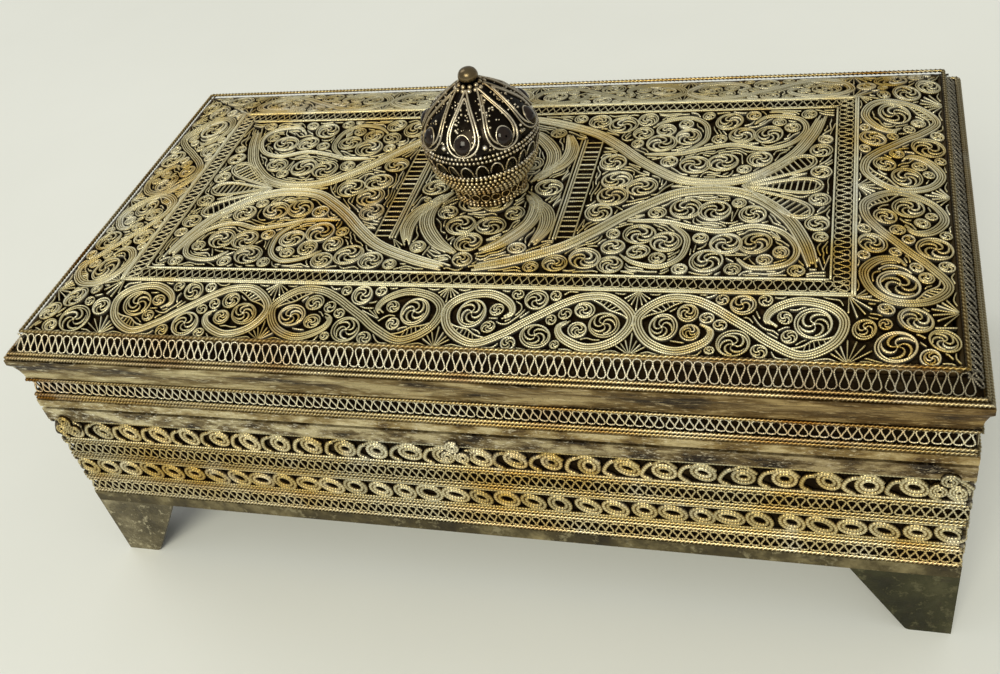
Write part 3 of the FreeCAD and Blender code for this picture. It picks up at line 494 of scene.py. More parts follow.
def grow(panel, spot, angle, steps):
    """Follows the middle of a gap from a spot, with as little bending as it can."""
    line = []
    for _ in range(steps):
        trials = []
        for bend in GROW_BENDS:
            there = spot + GROW_STEP * toward(angle + bend)
            trials.append((panel.room(there) - GROW_COST * abs(bend), angle + bend, there))
        _, angle, spot = max(trials, key=lambda trial: trial[0])
        if panel.room(spot) < HAIR_ROOM:
            break
        line.append(spot)
    return line


def eased(line):
    """A smooth curve along a line of close spots."""
    return smooth(line[:-1:3] + line[-1:])


def hair(panel, spot):
    """A thin wire along a narrow gap."""

    def room_both_ways(angle):
        stride = HAIR_STRIDE * toward(angle)
        return min(panel.room(spot + stride), panel.room(spot - stride))

    heading = max(np.linspace(0.0, math.pi, 8, endpoint=False), key=room_both_ways)
    line = grow(panel, spot, heading + math.pi, HAIR_STEPS)[::-1] + [spot]
    line += grow(panel, spot, heading, HAIR_STEPS)
    if len(line) < FEWEST_SPOTS:
        panel.block(spot, HAIR_BLOCK)
    else:
        draw(panel, eased(line), *HAIR_WIRE)


def feathers(panel, centre, radius):
    """Strands that leave a volute aslant and run on into the gaps round it."""
    turn, hand = spin()
    for angle in turn + hand * around(FEATHERS):
        start = centre + (radius + FEATHER_GAP) * toward(angle)
        if panel.room(start) < FEATHER_ROOM:
            continue
        line = [start] + grow(panel, start, angle + hand * FEATHER_LEAN, FEATHER_STEPS)
        if len(line) > FEWEST_SPOTS:
            draw(panel, eased(line), *FEATHER_WIRE)


def free_run(panel, spot, way, longest, room, start=0.0):
    """How far a straight way stays free."""
    run = start
    while run < longest and panel.room(spot + way * (run + RAY_STEP)) > room:
        run += RAY_STEP
    return run


def fan(panel, foot, heading, spread, length, rays):
    """Single wires spread from one point, each as long as the room allows."""
    ways = [toward(heading + lean) for lean in np.linspace(-0.5, 0.5, rays) * spread]
    reaches = [free_run(panel, foot, way, length, RAY_ROOM, RAY_START) for way in ways]
    share = np.linspace(0.08, 1.0, 9)
    for way, reach in zip(ways, reaches):
        if reach < max(SHORTEST_RAY, SHORT_RAY_SHARE * max(reaches)):
            continue
        ray = foot + np.outer(share * reach, way)
        wire(panel, ray, RAY_WIDE + RAY_WIDE * share**2, RAY_SINK)
        panel.mark(ray, RAY_LANE)


def spray(panel, spot):
    """A narrow fan along the longest free way through a spot, or a hair where it would be short."""
    headings = around(SPRAY_HEADINGS)
    ways = [toward(heading) for heading in headings]
    runs = [free_run(panel, spot, way, SPRAY_LONG, SPRAY_ROOM) for way in ways]
    chosen = int(np.argmax(runs))
    back = free_run(panel, spot, -ways[chosen], SPRAY_BACK, SPRAY_ROOM)
    length = runs[chosen] + back
    if length < SHORTEST_SPRAY:
        hair(panel, spot)
        return
    foot = spot - ways[chosen] * back
    fan(panel, foot, headings[chosen], SPRAY_SPREAD, length, SPRAY_RAYS)
    panel.block(spot, SPRAY_BLOCK)


WANTED_ROOM = 0.9
CURL_ROOM = 0.8
CURL_CHANCE = 0.25
CURL_LANE = 0.06
WIDE_ROOM = 0.65
OPEN_ROOM = 0.4


def fill(panel, places, smallest, largest, lane):
    """Volutes at the wanted places and in wide gaps, feathers round them, then strands in what is left."""
    placed = []

    def volute(spot, room):
        placed.append((spot, min(room - lane, largest)))
        rosette(panel, *placed[-1])

    for place in places:
        spot, room = panel.settle(place)
        if room > WANTED_ROOM:
            volute(spot, room)
    spot, room = panel.widest()
    while room > smallest:
        volute(spot, room)
        spot, room = panel.widest()
    for spot, radius in placed:
        feathers(panel, spot, radius)
    spot, room = panel.widest()
    while room > OPEN_ROOM:
        chance = luck.random()
        if room > CURL_ROOM and chance < CURL_CHANCE:
            curl(panel, spot, room - CURL_LANE)
        elif room > WIDE_ROOM:
            spray(panel, spot)
        else:
            hair(panel, spot)
        spot, room = panel.widest()


# Lattices, bent by hand, so each half cell drifts and sags by its own little share
MEANDER_SHARE = 0.325
LATTICE_DRIFT_SHARE = 0.07
LATTICE_SAG_SHARE = 0.1
CELL_POINTS = 14
LATTICE_SINK = 0.06
LATTICE_WIRE_HIGH = 0.35


def lattice(store, half, low, high, cell, width):
    """A meander of wire whose round bends almost touch, so drops stand head to tail."""
    cells = int(round(2 * half / cell))
    pitch = 2 * half / cells
    share = np.arange(cells * CELL_POINTS + 1) / CELL_POINTS
    wave = share * TURN
    knots = np.arange(2 * cells + 1) / 2
    drift = np.interp(share, knots, luck.normal(0.0, LATTICE_DRIFT_SHARE, len(knots)))
    sag = np.interp(share, knots, luck.uniform(0.0, LATTICE_SAG_SHARE, len(knots)))
    swing = (high - low - width) / 2 * (1 - sag)
    u = -half + pitch * (share + drift + MEANDER_SHARE * np.sin(2 * wave))
    line = np.column_stack((np.clip(u, -half, half), (low + high) / 2 + swing * np.cos(wave)))
    wire(store, line, width, LATTICE_SINK, LATTICE_WIRE_HIGH)


# Scrolls of the lid's border, one unit of an S, as shares of its length and height
S_STEM_SHARES = np.array((
    (0.32, 0.5), (0.37, 0.62), (0.335, 0.82), (0.22, 0.965), (0.08, 0.87), (0.015, 0.62), (0.06, 0.26),
    (0.2, 0.04), (0.35, 0.24), (0.44, 0.44), (0.53, 0.62), (0.625, 0.81), (0.735, 0.95), (0.87, 0.93),
    (0.985, 0.59), (0.93, 0.2), (0.79, 0.03), (0.66, 0.18), (0.625, 0.38), (0.68, 0.5),
))
S_LOOP_SHARES = np.array(((0.19, 0.5), (0.81, 0.5)))
S_CRESCENT_SHARES = ((0.265, 0.385), (0.63, 0.75))
S_ROSETTE_SHARES = np.array((
    (0.11, 0.6), (0.215, 0.34), (0.24, 0.74), (0.9, 0.42), (0.79, 0.66),
    (0.77, 0.28), (0.47, 0.2), (0.53, 0.85), (0.4, 0.86), (0.59, 0.2),
))
S_MARGIN = 1.0
S_WIRES = 4
BORDER_RAIL_WIDE = 0.3
BORDER_RAIL_DROP = 0.25
BORDER_RAIL_OVER = 0.2
BORDER_FAN_INSET = 0.3
BORDER_FAN_SPREAD = 1.9
BORDER_FAN_LONG = 3.6
BORDER_FAN_RAYS = 7
BORDER_FILL = {"smallest": 1.05, "largest": 3.2, "lane": 0.06}
CRESCENT_GAP = 0.7
CRESCENT_DEEP = 1.3
CRESCENT_WIDE = 0.3
RUNG_GAP = 0.6
RUNG_WIRE = (0.2, 0.14)
RUNG_STEP = 0.3


def crescent(panel, stem, middle):
    """Rungs between a stem and a wire that bows away from it, towards a middle."""
    inward = unit(middle - stem)
    share = np.linspace(0.0, 1.0, len(stem))
    gap = CRESCENT_GAP + CRESCENT_DEEP * np.sin(math.pi * share)
    line = stem + inward * gap[:, None]
    draw(panel, line, CRESCENT_WIDE)
    for number in range(4, len(stem) - 4, 2):
        rung = (stem[number] + inward[number] * RUNG_GAP, line[number - 1])
        wire(panel, even(rung, RUNG_STEP), *RUNG_WIRE)
    panel.mark((stem + line) / 2, gap.mean())


def border_panel(low_half, high_half, height, units, corner):
    """Alternating S-scrolls along a sloping border, with rosettes in their loops."""
    panel = Panel(low_half, high_half, 0.0, height)
    rail_half = high_half + BORDER_RAIL_OVER
    rail_level = height - BORDER_RAIL_DROP
    strip(panel, (-rail_half, rail_level), (rail_half, rail_level), BORDER_RAIL_WIDE)
    mean_half = (low_half + high_half) / 2 - corner
    length = 2 * mean_half / units
    ends = -mean_half + np.arange(units + 1) * length

    def places(number, shares):
        """Places of shares of one S. Every other S is mirrored."""
        u = 1 - shares[:, 0] if number % 2 else shares[:, 0]
        v = S_MARGIN + shares[:, 1] * (height - 2 * S_MARGIN)
        return np.column_stack((ends[number] + u * length, v))

    rosettes = []
    for number in range(units):
        stem = smooth(places(number, S_STEM_SHARES))
        bundle(panel, stem, S_WIRES)
        for middle, (start, end) in zip(places(number, S_LOOP_SHARES), S_CRESCENT_SHARES):
            crescent(panel, stem[int(start * len(stem)) : int(end * len(stem))], middle)
        rosettes.extend(places(number, S_ROSETTE_SHARES))
    for u in ends:
        for v, heading in ((BORDER_FAN_INSET, math.pi / 2), (height - BORDER_FAN_INSET, -math.pi / 2)):
            foot = np.array((u, v))
            fan(panel, foot, heading, BORDER_FAN_SPREAD, BORDER_FAN_LONG, BORDER_FAN_RAYS)
    fill(panel, rosettes, **BORDER_FILL)
    return panel


# The lid's centre, one quarter of it, as shares of its half length and half width
OGEE_SHARES = np.array((
    (0.03, 0.955), (0.148, 0.86), (0.275, 0.71), (0.36, 0.53), (0.43, 0.35), (0.5, 0.2), (0.568, 0.085),
    (0.645, 0.045), (0.726, 0.06), (0.805, 0.155), (0.885, 0.375), (0.933, 0.635), (0.96, 0.89),
))
LEAF_STEM_SHARES = np.array((
    (0.445, 0.41), (0.55, 0.415), (0.63, 0.48), (0.71, 0.52), (0.8, 0.46),
    (0.875, 0.53), (0.915, 0.71), (0.89, 0.86), (0.805, 0.9), (0.76, 0.8),
))
LOBE_STEM_SHARES = np.array((
    (0.56, 0.42), (0.615, 0.56), (0.625, 0.68), (0.61, 0.82), (0.56, 0.905), (0.49, 0.865), (0.45, 0.78),
))
OUTER_PLUME_SHARES = np.array(((0.118, 0.06), (0.16, 0.209), (0.158, 0.439), (0.1, 0.66), (0.03, 0.79)))
INNER_PLUME_SHARES = np.array(((0.129, 0.13), (0.195, 0.293), (0.212, 0.481), (0.188, 0.7)))
CENTRE_ROSETTE_SHARES = np.array((
    (0.33, 0.885), (0.4, 0.76), (0.465, 0.61), (0.55, 0.6), (0.66, 0.83), (0.705, 0.68), (0.8, 0.59),
    (0.865, 0.68), (0.58, 0.25), (0.66, 0.35), (0.725, 0.22), (0.8, 0.305), (0.365, 0.37), (0.372, 0.14),
    (0.48, 0.0), (0.07, 0.53),
))
OGEE_WIRES = 6
OGEE_TIP_SHARE = 0.7
LEAF_WIRES = 3
LEAF_PITCH = 0.38
PLUME_WIRES = 7
PLUME_TIP_SHARE = 0.3
KNOB_SEAT_RADIUS = 6.6
CENTRE_FILL = {"smallest": 1.45, "largest": 2.8, "lane": 0.16}
PETAL_ROOT_SHARE = 0.75
PETAL_LEAN = 0.62
MIDDLE_PETAL_LONG = 13.0
SIDE_PETAL_LONG = 14.0
PETAL_WIDE = 4.4
PETAL_POINTS = 40
PETAL_INSET = 0.4
PETAL_RUNG_SLANT = 0.3
PETAL_RUNG_WIRE = (0.3, 0.1)
PETAL_RUNG_GAP = 0.5
SHORTEST_HALF_RUNG = 0.3
LEAST_BLOCK = 0.1
LADDER_PLACE_SHARE = 0.278
LADDER_REACH_SHARE = 0.62
LADDER_WIDE = 2.9
LADDER_POINTS = 60
LADDER_RUNGS = 21
LADDER_RUNG_WIRE = (0.34, 0.06, 0.35)
SIDE_WIRE_GAP = 0.75
SIDE_WIRE_SHIFT = 0.3


def teardrop(panel, root, heading, length):
    """A round-ended petal of two outlines with short rungs inside."""
    way = toward(heading)
    aside = np.array((-way[1], way[0]))
    share = np.linspace(0.0, 1.0, PETAL_POINTS)
    swell = share**1.1 * np.sqrt(1 - share**4) / 0.62
    for inset in (0.0, PETAL_INSET):
        for hand in (1, -1):
            spread = np.maximum(PETAL_WIDE / 2 * swell - inset, 0.0)
            line = root + np.outer(share * (length - inset), way) + np.outer(hand * spread, aside)
            draw(panel, even(line), STEM_WIDTH)
    for number in range(12, PETAL_POINTS - 2, 3):
        half = PETAL_WIDE / 2 * swell[number] - PETAL_RUNG_GAP
        if half > SHORTEST_HALF_RUNG:
            foot = root + way * share[number] * (length - PETAL_INSET)
            rung = (foot - aside * half, foot + aside * half + way * PETAL_RUNG_SLANT)
            draw(panel, even(rung), *PETAL_RUNG_WIRE)
        panel.block(root + way * share[number] * length, max(half, LEAST_BLOCK))


def ladder(panel, left, right):
    """Rungs between two side wires."""
    draw(panel, left, STEM_WIDTH)
    draw(panel, right, STEM_WIDTH)
    for share in np.linspace(0.03, 0.97, LADDER_RUNGS):
        number = int(share * (LADDER_POINTS - 1))
        wire(panel, even((left[number], right[number])), *LADDER_RUNG_WIRE)
    panel.mark((left + right) / 2, np.abs(right - left).max())


def centre_panel():
    """The lid's middle: crossed ogee stems, petals, ladder bands, leaf scrolls and rosettes."""
    half_x, half_y = centre_half
    panel = Panel(half_x, half_x, -half_y, half_y)
    panel.block((0.0, 0.0), KNOB_SEAT_RADIUS)
    rosettes = []
    for quarter in ((1, 1), (1, -1), (-1, 1), (-1, -1)):
        scale = centre_half * quarter
        bundle(panel, smooth(OGEE_SHARES * scale), OGEE_WIRES, OGEE_TIP_SHARE)
        for shares in (LEAF_STEM_SHARES, LOBE_STEM_SHARES):
            bundle(panel, smooth(shares * scale), LEAF_WIRES, pitch=LEAF_PITCH)
        for shares in (OUTER_PLUME_SHARES, INNER_PLUME_SHARES):
            bundle(panel, smooth(shares * scale), PLUME_WIRES, PLUME_TIP_SHARE)
        rosettes.extend(CENTRE_ROSETTE_SHARES * scale)
    v = np.linspace(-LADDER_REACH_SHARE, LADDER_REACH_SHARE, LADDER_POINTS) * half_y
    for hand in (1, -1):
        root = np.array((hand * PETAL_ROOT_SHARE * half_x, 0.0))
        heading = 0.0 if hand > 0 else math.pi
        teardrop(panel, root, heading, MIDDLE_PETAL_LONG)
        for lean in (PETAL_LEAN, -PETAL_LEAN):
            teardrop(panel, root, heading + lean, SIDE_PETAL_LONG)
        middle = hand * LADDER_PLACE_SHARE * half_x
        inner = middle - hand * (LADDER_WIDE / 2 + SIDE_WIRE_GAP)
        across = (middle - LADDER_WIDE / 2, middle + LADDER_WIDE / 2)
        across += (inner - SIDE_WIRE_SHIFT, inner + SIDE_WIRE_SHIFT)
        left, right, *side_wires = [np.column_stack((np.full(LADDER_POINTS, u), v)) for u in across]
        ladder(panel, left, right)
        for line in side_wires:
            draw(panel, line, STEM_WIDTH)
    fill(panel, rosettes, **CENTRE_FILL)
    return panel


def side_place(number, half, level, run=0.0, rise=1.0):
    """Origin and axes of a panel on one side, leaning inwards by its run over its rise."""
    out = OUT[number]
    along = ALONG[number]
    upward = (UP * rise - out * run) / math.hypot(run, rise)
    origin = out * half[1 - number % 2] + UP * level
    return origin, np.stack((along, upward, np.cross(along, upward)))


# The frame of lattice round the centre
FRAME_RAIL_WIDE = 0.32
FRAME_GAP = 0.3
FRAME_CELL = 1.45
FRAME_THICK = 0.22


def frame_panel():
    """Four lengths of lattice between plain strips."""
    store = Store()
    band = frame_half[0] - centre_half[0]
    rail = FRAME_RAIL_WIDE
    for number in range(len(SIDES)):
        half = frame_half[number % 2]
        part = Store()
        for inset, level in ((0.0, rail / 2), (band, band - rail / 2)):
            strip(part, (-half + inset, level), (half - inset, level), rail)
        lattice(part, half - rail - FRAME_GAP, rail, band - rail, FRAME_CELL, FRAME_THICK)
        store.take(part, *side_place(number, frame_half, lid_top, 1.0, 0.0))
    return store


# Rows of a wall, from the rim down
ROW_A_HIGH = 5.6
ROW_B_HIGH = 4.6
LATTICE_HIGH = 2.8
ROPE_HIGH = 0.8
row_a_low = wall_top - ROW_A_HIGH
upper_lattice_high = row_a_low - ROPE_HIGH
upper_lattice_low = upper_lattice_high - LATTICE_HIGH
row_b_high = upper_lattice_low - 2 * ROPE_HIGH
row_b_low = row_b_high - ROW_B_HIGH
lower_lattice_high = row_b_low - 2 * ROPE_HIGH
lower_lattice_low = lower_lattice_high - LATTICE_HIGH
WALL_CELL = 1.5
WALL_LATTICE_THICK = 0.36
WALL_LATTICE_INSET = 0.2
WALL_LATTICE_OVER = 0.1
ROW_A_PITCH = 6.0
ROW_B_PITCH = 4.7
ROW_B_RING_OVER = 0.12
ROW_B_RING_INSET = 0.1
RING_WIDTH = 0.75
RING_INSETS = (RING_WIDTH * 0.5, RING_WIDTH * 1.4)
RING_SINK_SHARE = 0.08
RING_JITTER = 0.2
RING_LEAN_JITTER = 0.15
LEAST_RING_HALF = 0.45
ROW_A_RING_HALVES = (2.15, 2.1)
ROW_A_LEAN = -0.15
ROW_B_LEAN = -0.2

# Row A: across as a share of the pitch, up in millimetres from the row's foot
ROW_A_RING_SPOT = np.array((0.66, 2.75))
HOOP_SPOTS = np.array(((0.3, 0.4), (0.05, 1.6), (0.16, 3.5), (0.36, 4.2)))
OVER_SPOTS = np.array(((0.36, 4.2), (0.66, 5.0), (0.98, 3.4)))
HOOP_JITTER = 0.2
HOOP_WIRE = (0.85, 0.05)
OVER_JITTER = 0.15
OVER_WIRE = (0.7, 0.1)
EDGE_WIRE = (0.55, 0.1)
EDGE_WIRE_LEVELS = (row_a_low + 0.2, wall_top - 0.35, row_b_low + 0.1, row_b_high - 0.1)


def beaded_ring(store, centre, wide, high, lean):
    """A thick oval ring of two wires with a dark eye, a little uneven."""
    wide = wide * luck.uniform(0.86, 1.08)
    high = high * luck.uniform(0.86, 1.04)
    lean = lean + luck.uniform(-RING_LEAN_JITTER, RING_LEAN_JITTER)
    centre = centre + luck.uniform(-RING_JITTER, RING_JITTER, 2)
    for inset in RING_INSETS:
        ring = ellipse((0.0, 0.0), wide - inset, max(high - inset, LEAST_RING_HALF))
        ring[:, 1] += lean * ring[:, 0]
        wire(store, ring + centre, RING_WIDTH, RING_SINK_SHARE * inset, closed=True)


def wall_panel(half):
    """Two rows of beaded rings and two rows of lattice, at their levels above the table."""
    store = Store()
    for low, high in ((upper_lattice_low, upper_lattice_high), (lower_lattice_low, lower_lattice_high)):
        low = low - WALL_LATTICE_OVER
        high = high + WALL_LATTICE_OVER
        lattice(store, half - WALL_LATTICE_INSET, low, high, WALL_CELL, WALL_LATTICE_THICK)
    units = int(round(2 * half / ROW_A_PITCH))
    pitch = 2 * half / units
    for number in range(units):
        foot = np.array((-half + number * pitch, row_a_low))
        scale = (pitch, 1.0)
        beaded_ring(store, foot + ROW_A_RING_SPOT * scale, *ROW_A_RING_HALVES, ROW_A_LEAN)
        hoop = foot + HOOP_SPOTS * scale + luck.uniform(-HOOP_JITTER, HOOP_JITTER, HOOP_SPOTS.shape)
        wire(store, smooth(hoop), *HOOP_WIRE)
        over = foot + OVER_SPOTS * scale + luck.uniform(-OVER_JITTER, OVER_JITTER, OVER_SPOTS.shape)
        wire(store, smooth(over), *OVER_WIRE)
    units = int(round(2 * half / ROW_B_PITCH))
    pitch = 2 * half / units
    for number in range(units):
        spot = np.array((-half + (number + 0.5) * pitch, (row_b_low + row_b_high) / 2))
        halves = (pitch / 2 + ROW_B_RING_OVER, ROW_B_HIGH / 2 - ROW_B_RING_INSET)
        beaded_ring(store, spot, *halves, ROW_B_LEAN)
    for level in EDGE_WIRE_LEVELS:
        wire(store, even(((-half, level), (half, level))), *EDGE_WIRE)
    return store


COIL_SHARE = 0.27
COIL_EYE = 0.25
COIL_TURNS = 2.3
COIL_STEP = 0.2
COIL_WIDE = 0.5
COIL_GAP = 0.05


def coil_trio(store, centre_x, node):
    """Three flat coils of wire, one above two, at the level of the node."""
    low, high = span(node)
    tall = high[2] - low[2]
    reach = tall * COIL_SHARE
    for u, v in ((0.0, tall - reach), (-reach, reach), (reach, reach)):
        spot = (centre_x + u, low[2] + v)
        line = arc(spot, (reach, COIL_EYE), luck.random() * TURN, TURN * COIL_TURNS, COIL_STEP)
        path = np.column_stack((line[:, 0], np.full(len(line), high[1]), line[:, 1]))
        wire(store, path, COIL_WIDE, high=high[1] - low[1] - COIL_GAP, up=OUT[0])


# Knob
dome_low, dome_high = span("knob_dome")
bowl_low, bowl_high = span("knob_bowl")
collar_low, collar_high = span("knob_collar")
ball_low, ball_high = span("knob_ball")
PETALS = 8
DOME_SHARES = ((0.0, 0.93), (0.2, 1.0), (0.42, 0.96), (0.64, 0.8), (0.84, 0.5), (1.0, 0.21))
DOME_STEP_SHARE = 0.02
DOME_INSET = 0.35
DOME_HIGH_SHARE = 0.05
SLOPE_STEP_SHARE = 0.01
GROOVE_SHARE = 0.05
GRAIN_PITCH_SHARE = 2.05
GRAIN_SQUASH_SHARE = 0.9
dome_curve = smooth(DOME_SHARES, DOME_STEP_SHARE)
dome_radius = dome_high[0] / math.cos(math.pi / PETALS)
dome_tall = dome_high[2] - dome_low[2]


def dome_spot(angle, share, lift=0.0):
    """Points on the dome, with their outward directions."""
    angle = np.atleast_1d(angle)
    share = np.broadcast_to(share, angle.shape)
    reach = np.interp(share, *dome_curve.T) * dome_radius
    ahead = np.interp(share + SLOPE_STEP_SHARE, *dome_curve.T) * dome_radius
    groove = 1 - GROOVE_SHARE * (1 - np.abs(np.cos(PETALS / 2 * angle))) ** 2
    slope = (reach - ahead) / (SLOPE_STEP_SHARE * dome_tall)
    normal = unit(np.column_stack((polar(1.0, angle), slope)))
    spot = np.column_stack((polar(reach * groove - DOME_INSET, angle), dome_low[2] + share * dome_tall))
    return spot + normal * lift, normal


def lathe(store, radii, levels, high, sides):
    """A turned surface from its radii and levels."""
    angle = around(sides)
    rings = zip(radii, levels)
    rows = [np.column_stack((polar(radius, angle), np.full(sides, level))) for radius, level in rings]
    store.add(np.stack(rows), ring_triangles(len(rows), sides), high)


def grain_row(store, radius, level, size, normal_rise=0.2):
    """A ring of grains round the knob's axis."""
    for angle in around(int(TURN * radius / (size * GRAIN_PITCH_SHARE))):
        way = toward(angle)
        spot = np.append(radius * way, level)
        grain(store, spot, size, np.append(way, normal_rise), GRAIN_SQUASH_SHARE)


PETAL_MIDDLE_SHARE = 0.66
PETAL_HALF_SHARE = 0.31
PETAL_SPREAD = math.radians(17.5)
PETAL_WIRE = (0.38, 0.0, 0.36)
STONE_SHARE = 0.49
SEAT_SPREAD = math.radians(8.5)
SEAT_HALF_SHARE = 0.115
SEAT_WIRE = (0.3, 0.0, 0.3)
DUST_GRAINS = 60
DUST_SPREAD = math.radians(22.0)
DUST_SHARES = (0.36, 0.9)
DUST_SIZES = (0.12, 0.32)
DUST_LIFT = 0.02
SEAT_CLEAR_SHARE = 0.13
GAP_GRAIN = 0.55
GAP_GRAIN_SHARE = 0.42
KNOB_LIFT = 0.05
ARCHES = 24
ARCH_WIRE = (0.28, 0.0, 0.3)
LOOP_WIDTH_SHARE = 0.42
DOME_ROW_SHARES = (0.0, 0.26, 0.32)
DOME_ROW_GRAIN = 0.34
CROWN_RADII_AND_DROPS = ((2.35, 0.55), (1.75, 0.1))
CROWN_GRAIN = 0.5


def knob_dome():
    """Eight petals outlined by pale double wires, with grains inside them and arches below them."""
    store = Store()
    angle = around(96)
    rows = [dome_spot(angle, share)[0] for share in np.linspace(0.0, 1.0, 22)]
    store.add(np.stack(rows), ring_triangles(len(rows), len(angle)), DOME_HIGH_SHARE)
    turn = around(56)
    for number in range(PETALS):
        middle = TURN * number / PETALS
        for scale in (1.0, 0.8):
            share = PETAL_MIDDLE_SHARE - PETAL_HALF_SHARE * scale * np.cos(turn)
            swell = np.sin(turn) * (1 + 0.3 * np.cos(turn))
            spot, normal = dome_spot(middle + PETAL_SPREAD * scale * swell, share)
            wire(store, spot, *PETAL_WIRE, closed=True, up=normal)
        share = STONE_SHARE - SEAT_HALF_SHARE * np.cos(turn)
        seat, normal = dome_spot(middle + SEAT_SPREAD * np.sin(turn), share)
        wire(store, seat, *SEAT_WIRE, closed=True, up=normal)
        for _ in range(DUST_GRAINS):
            lean = luck.uniform(-1, 1)
            share = luck.uniform(*DUST_SHARES)
            if abs(share - STONE_SHARE) < SEAT_CLEAR_SHARE and abs(lean) < 0.5:
                continue
            spot, normal = dome_spot(middle + DUST_SPREAD * lean, share, DUST_LIFT)
            grain(store, spot[0], luck.uniform(*DUST_SIZES), normal[0])
        spot, normal = dome_spot(middle + TURN / PETALS / 2, GAP_GRAIN_SHARE, KNOB_LIFT)
        grain(store, spot[0], GAP_GRAIN, normal[0])
    turn = np.linspace(0.0, math.pi, 9)
    for number in range(ARCHES):
        angle = TURN * (number + LOOP_WIDTH_SHARE * np.cos(turn)) / ARCHES
        arch, normal = dome_spot(angle, 0.05 + 0.16 * np.sin(turn))
        wire(store, arch, *ARCH_WIRE, up=normal)
    for share in DOME_ROW_SHARES:
        spot, _ = dome_spot(0.0, share)
        grain_row(store, spot[0, 0], spot[0, 2], DOME_ROW_GRAIN)
    for radius, drop in CROWN_RADII_AND_DROPS:
        grain_row(store, radius, dome_high[2] - drop, CROWN_GRAIN, 1.0)
    return store


BOWL_FOOT_SHARE = 0.755
BOWL_INSET = 0.42
BOWL_GRAIN = 0.38
KNOB_SIDES = 72


def bowl_radius(share):
    """Radius of the bowl at a share of its height."""
    foot = BOWL_FOOT_SHARE * bowl_high[0]
    return foot + (bowl_high[0] - foot) * np.sin(share * math.pi / 2) - BOWL_INSET


def knob_bowl():
    """Close rows of granulation."""
    store = Store()
    tall = bowl_high[2] - bowl_low[2]
    shares = np.linspace(0.0, 1.0, 9)
    lathe(store, bowl_radius(shares), bowl_low[2] + tall * shares, 0.0, KNOB_SIDES)
    for share in np.linspace(0.08, 0.93, 6):
        grain_row(store, bowl_radius(share), bowl_low[2] + tall * share, BOWL_GRAIN)
    return store


COLLAR_INSET = 0.4
COLLAR_RINGS = 5
COLLAR_GRAIN = 0.36
COLLAR_HIGH_SHARE = 0.45
COLLAR_ROW_SHARES = (0.1, 0.28, 0.94)
COLLAR_LOOPS = 22
COLLAR_WIRE = (0.26, 0.0, 0.3)


def knob_collar():
    """A narrow neck with beads above and below small loops."""
    store = Store()
    radius = collar_high[0] - COLLAR_INSET
    tall = collar_high[2] - collar_low[2]
    levels = np.linspace(collar_low[2], collar_high[2], COLLAR_RINGS)
    lathe(store, np.full(COLLAR_RINGS, radius), levels, COLLAR_HIGH_SHARE, KNOB_SIDES)
    for share in COLLAR_ROW_SHARES:
        grain_row(store, radius, collar_low[2] + tall * share, COLLAR_GRAIN)
    turn = around(12)
    for number in range(COLLAR_LOOPS):
        angle = TURN * (number + LOOP_WIDTH_SHARE * np.cos(turn)) / COLLAR_LOOPS
        way = np.column_stack((polar(1.0, angle), np.zeros(len(turn))))
        path = way * radius + UP * (collar_low[2] + tall * (0.6 + 0.2 * np.sin(turn)))[:, None]
        wire(store, path, *COLLAR_WIRE, closed=True, up=way)
    return store


BALL_WIDE_SHARE = 1.35
BALL_DENT_SHARE = 0.05
BALL_HIGH_SHARE = 0.7
BALL_SIDES = 40
LEAST_RADIUS = 0.01


def knob_ball():
    """The hollow ball on top, wider than high and a little dented."""
    store = Store()
    lean = np.linspace(-math.pi / 2, math.pi / 2, 15)
    middle = (ball_low[2] + ball_high[2]) / 2
    half = (ball_high[2] - ball_low[2]) / 2
    dents = 1 - BALL_DENT_SHARE * np.abs(np.sin(3.0 * lean + 0.6))
    radii = np.maximum(BALL_WIDE_SHARE * half * np.cos(lean) * dents, LEAST_RADIUS)
    lathe(store, radii, middle + half * np.sin(lean), BALL_HIGH_SHARE, BALL_SIDES)
    return store


STONE_HALF = 1.45
STONE_TALL_SHARE = 1.15
STONE_RISE = 0.8
STONE_SIDES = 20


def knob_stones():
    """A cabochon low in each petal."""
    store = Store()
    flat = polar(1.0, around(STONE_SIDES)) * (1.0, STONE_TALL_SHARE)
    for number in range(PETALS):
        (spot,), (normal,) = dome_spot(TURN * number / PETALS, STONE_SHARE, KNOB_LIFT)
        side = unit(np.cross(UP, normal))
        oval = STONE_HALF * flat @ np.stack((side, np.cross(normal, side)))
        leans = np.linspace(0.0, 1.45, 7)
        rings = [spot + math.cos(lean) * oval + STONE_RISE * math.sin(lean) * normal for lean in leans]
        store.add(np.stack(rings), ring_triangles(len(rings), STONE_SIDES), 0.0, luck.random())
    return store


# Beads along a wire, in millimetres as its run is
FINE_BEAD = 0.36
COARSE_BEAD = 0.52
LONG_BEAD = 40.0

# Materials, whose other lengths are in metres and whose noise scales are per metre
WHITE = (1.0, 1.0, 1.0)
# The darkest colours below sit at the foot of the ramps of wires, ropes and grains: painted shade between
# them.
PAINTED_SHADE_BLACK = (0.006, 0.003, 0.001)
WALL_SHADE = (0.008, 0.004, 0.001)
ROPE_SHADE = (0.02, 0.01, 0.003)
KNOB_SHADE = (0.008, 0.005, 0.002)
GRAIN_SHADE = (0.012, 0.006, 0.002)
PIT = (0.035, 0.025, 0.012)
GILT_TINT = (1.0, 0.87, 0.58)
# Where wires and sheets darken towards the box's right end: painted shade, with brown tarnish on the
# sheets.
RIGHT_END = (0.03, 0.078)
RIGHT_FADE = (-0.05, 0.07)
BACK_EDGE = (0.022, 0.036)
STAIN_SCALE = 55.0
GILT_SCALE = 26.0
WEAR_SCALE = 90.0
GRIT_SCALE = 900.0
WIRE_BUMP = 0.00008
SHEET_BUMP = 0.0003
ALONG_STRIP = (0.35, 0.35, 1.0)


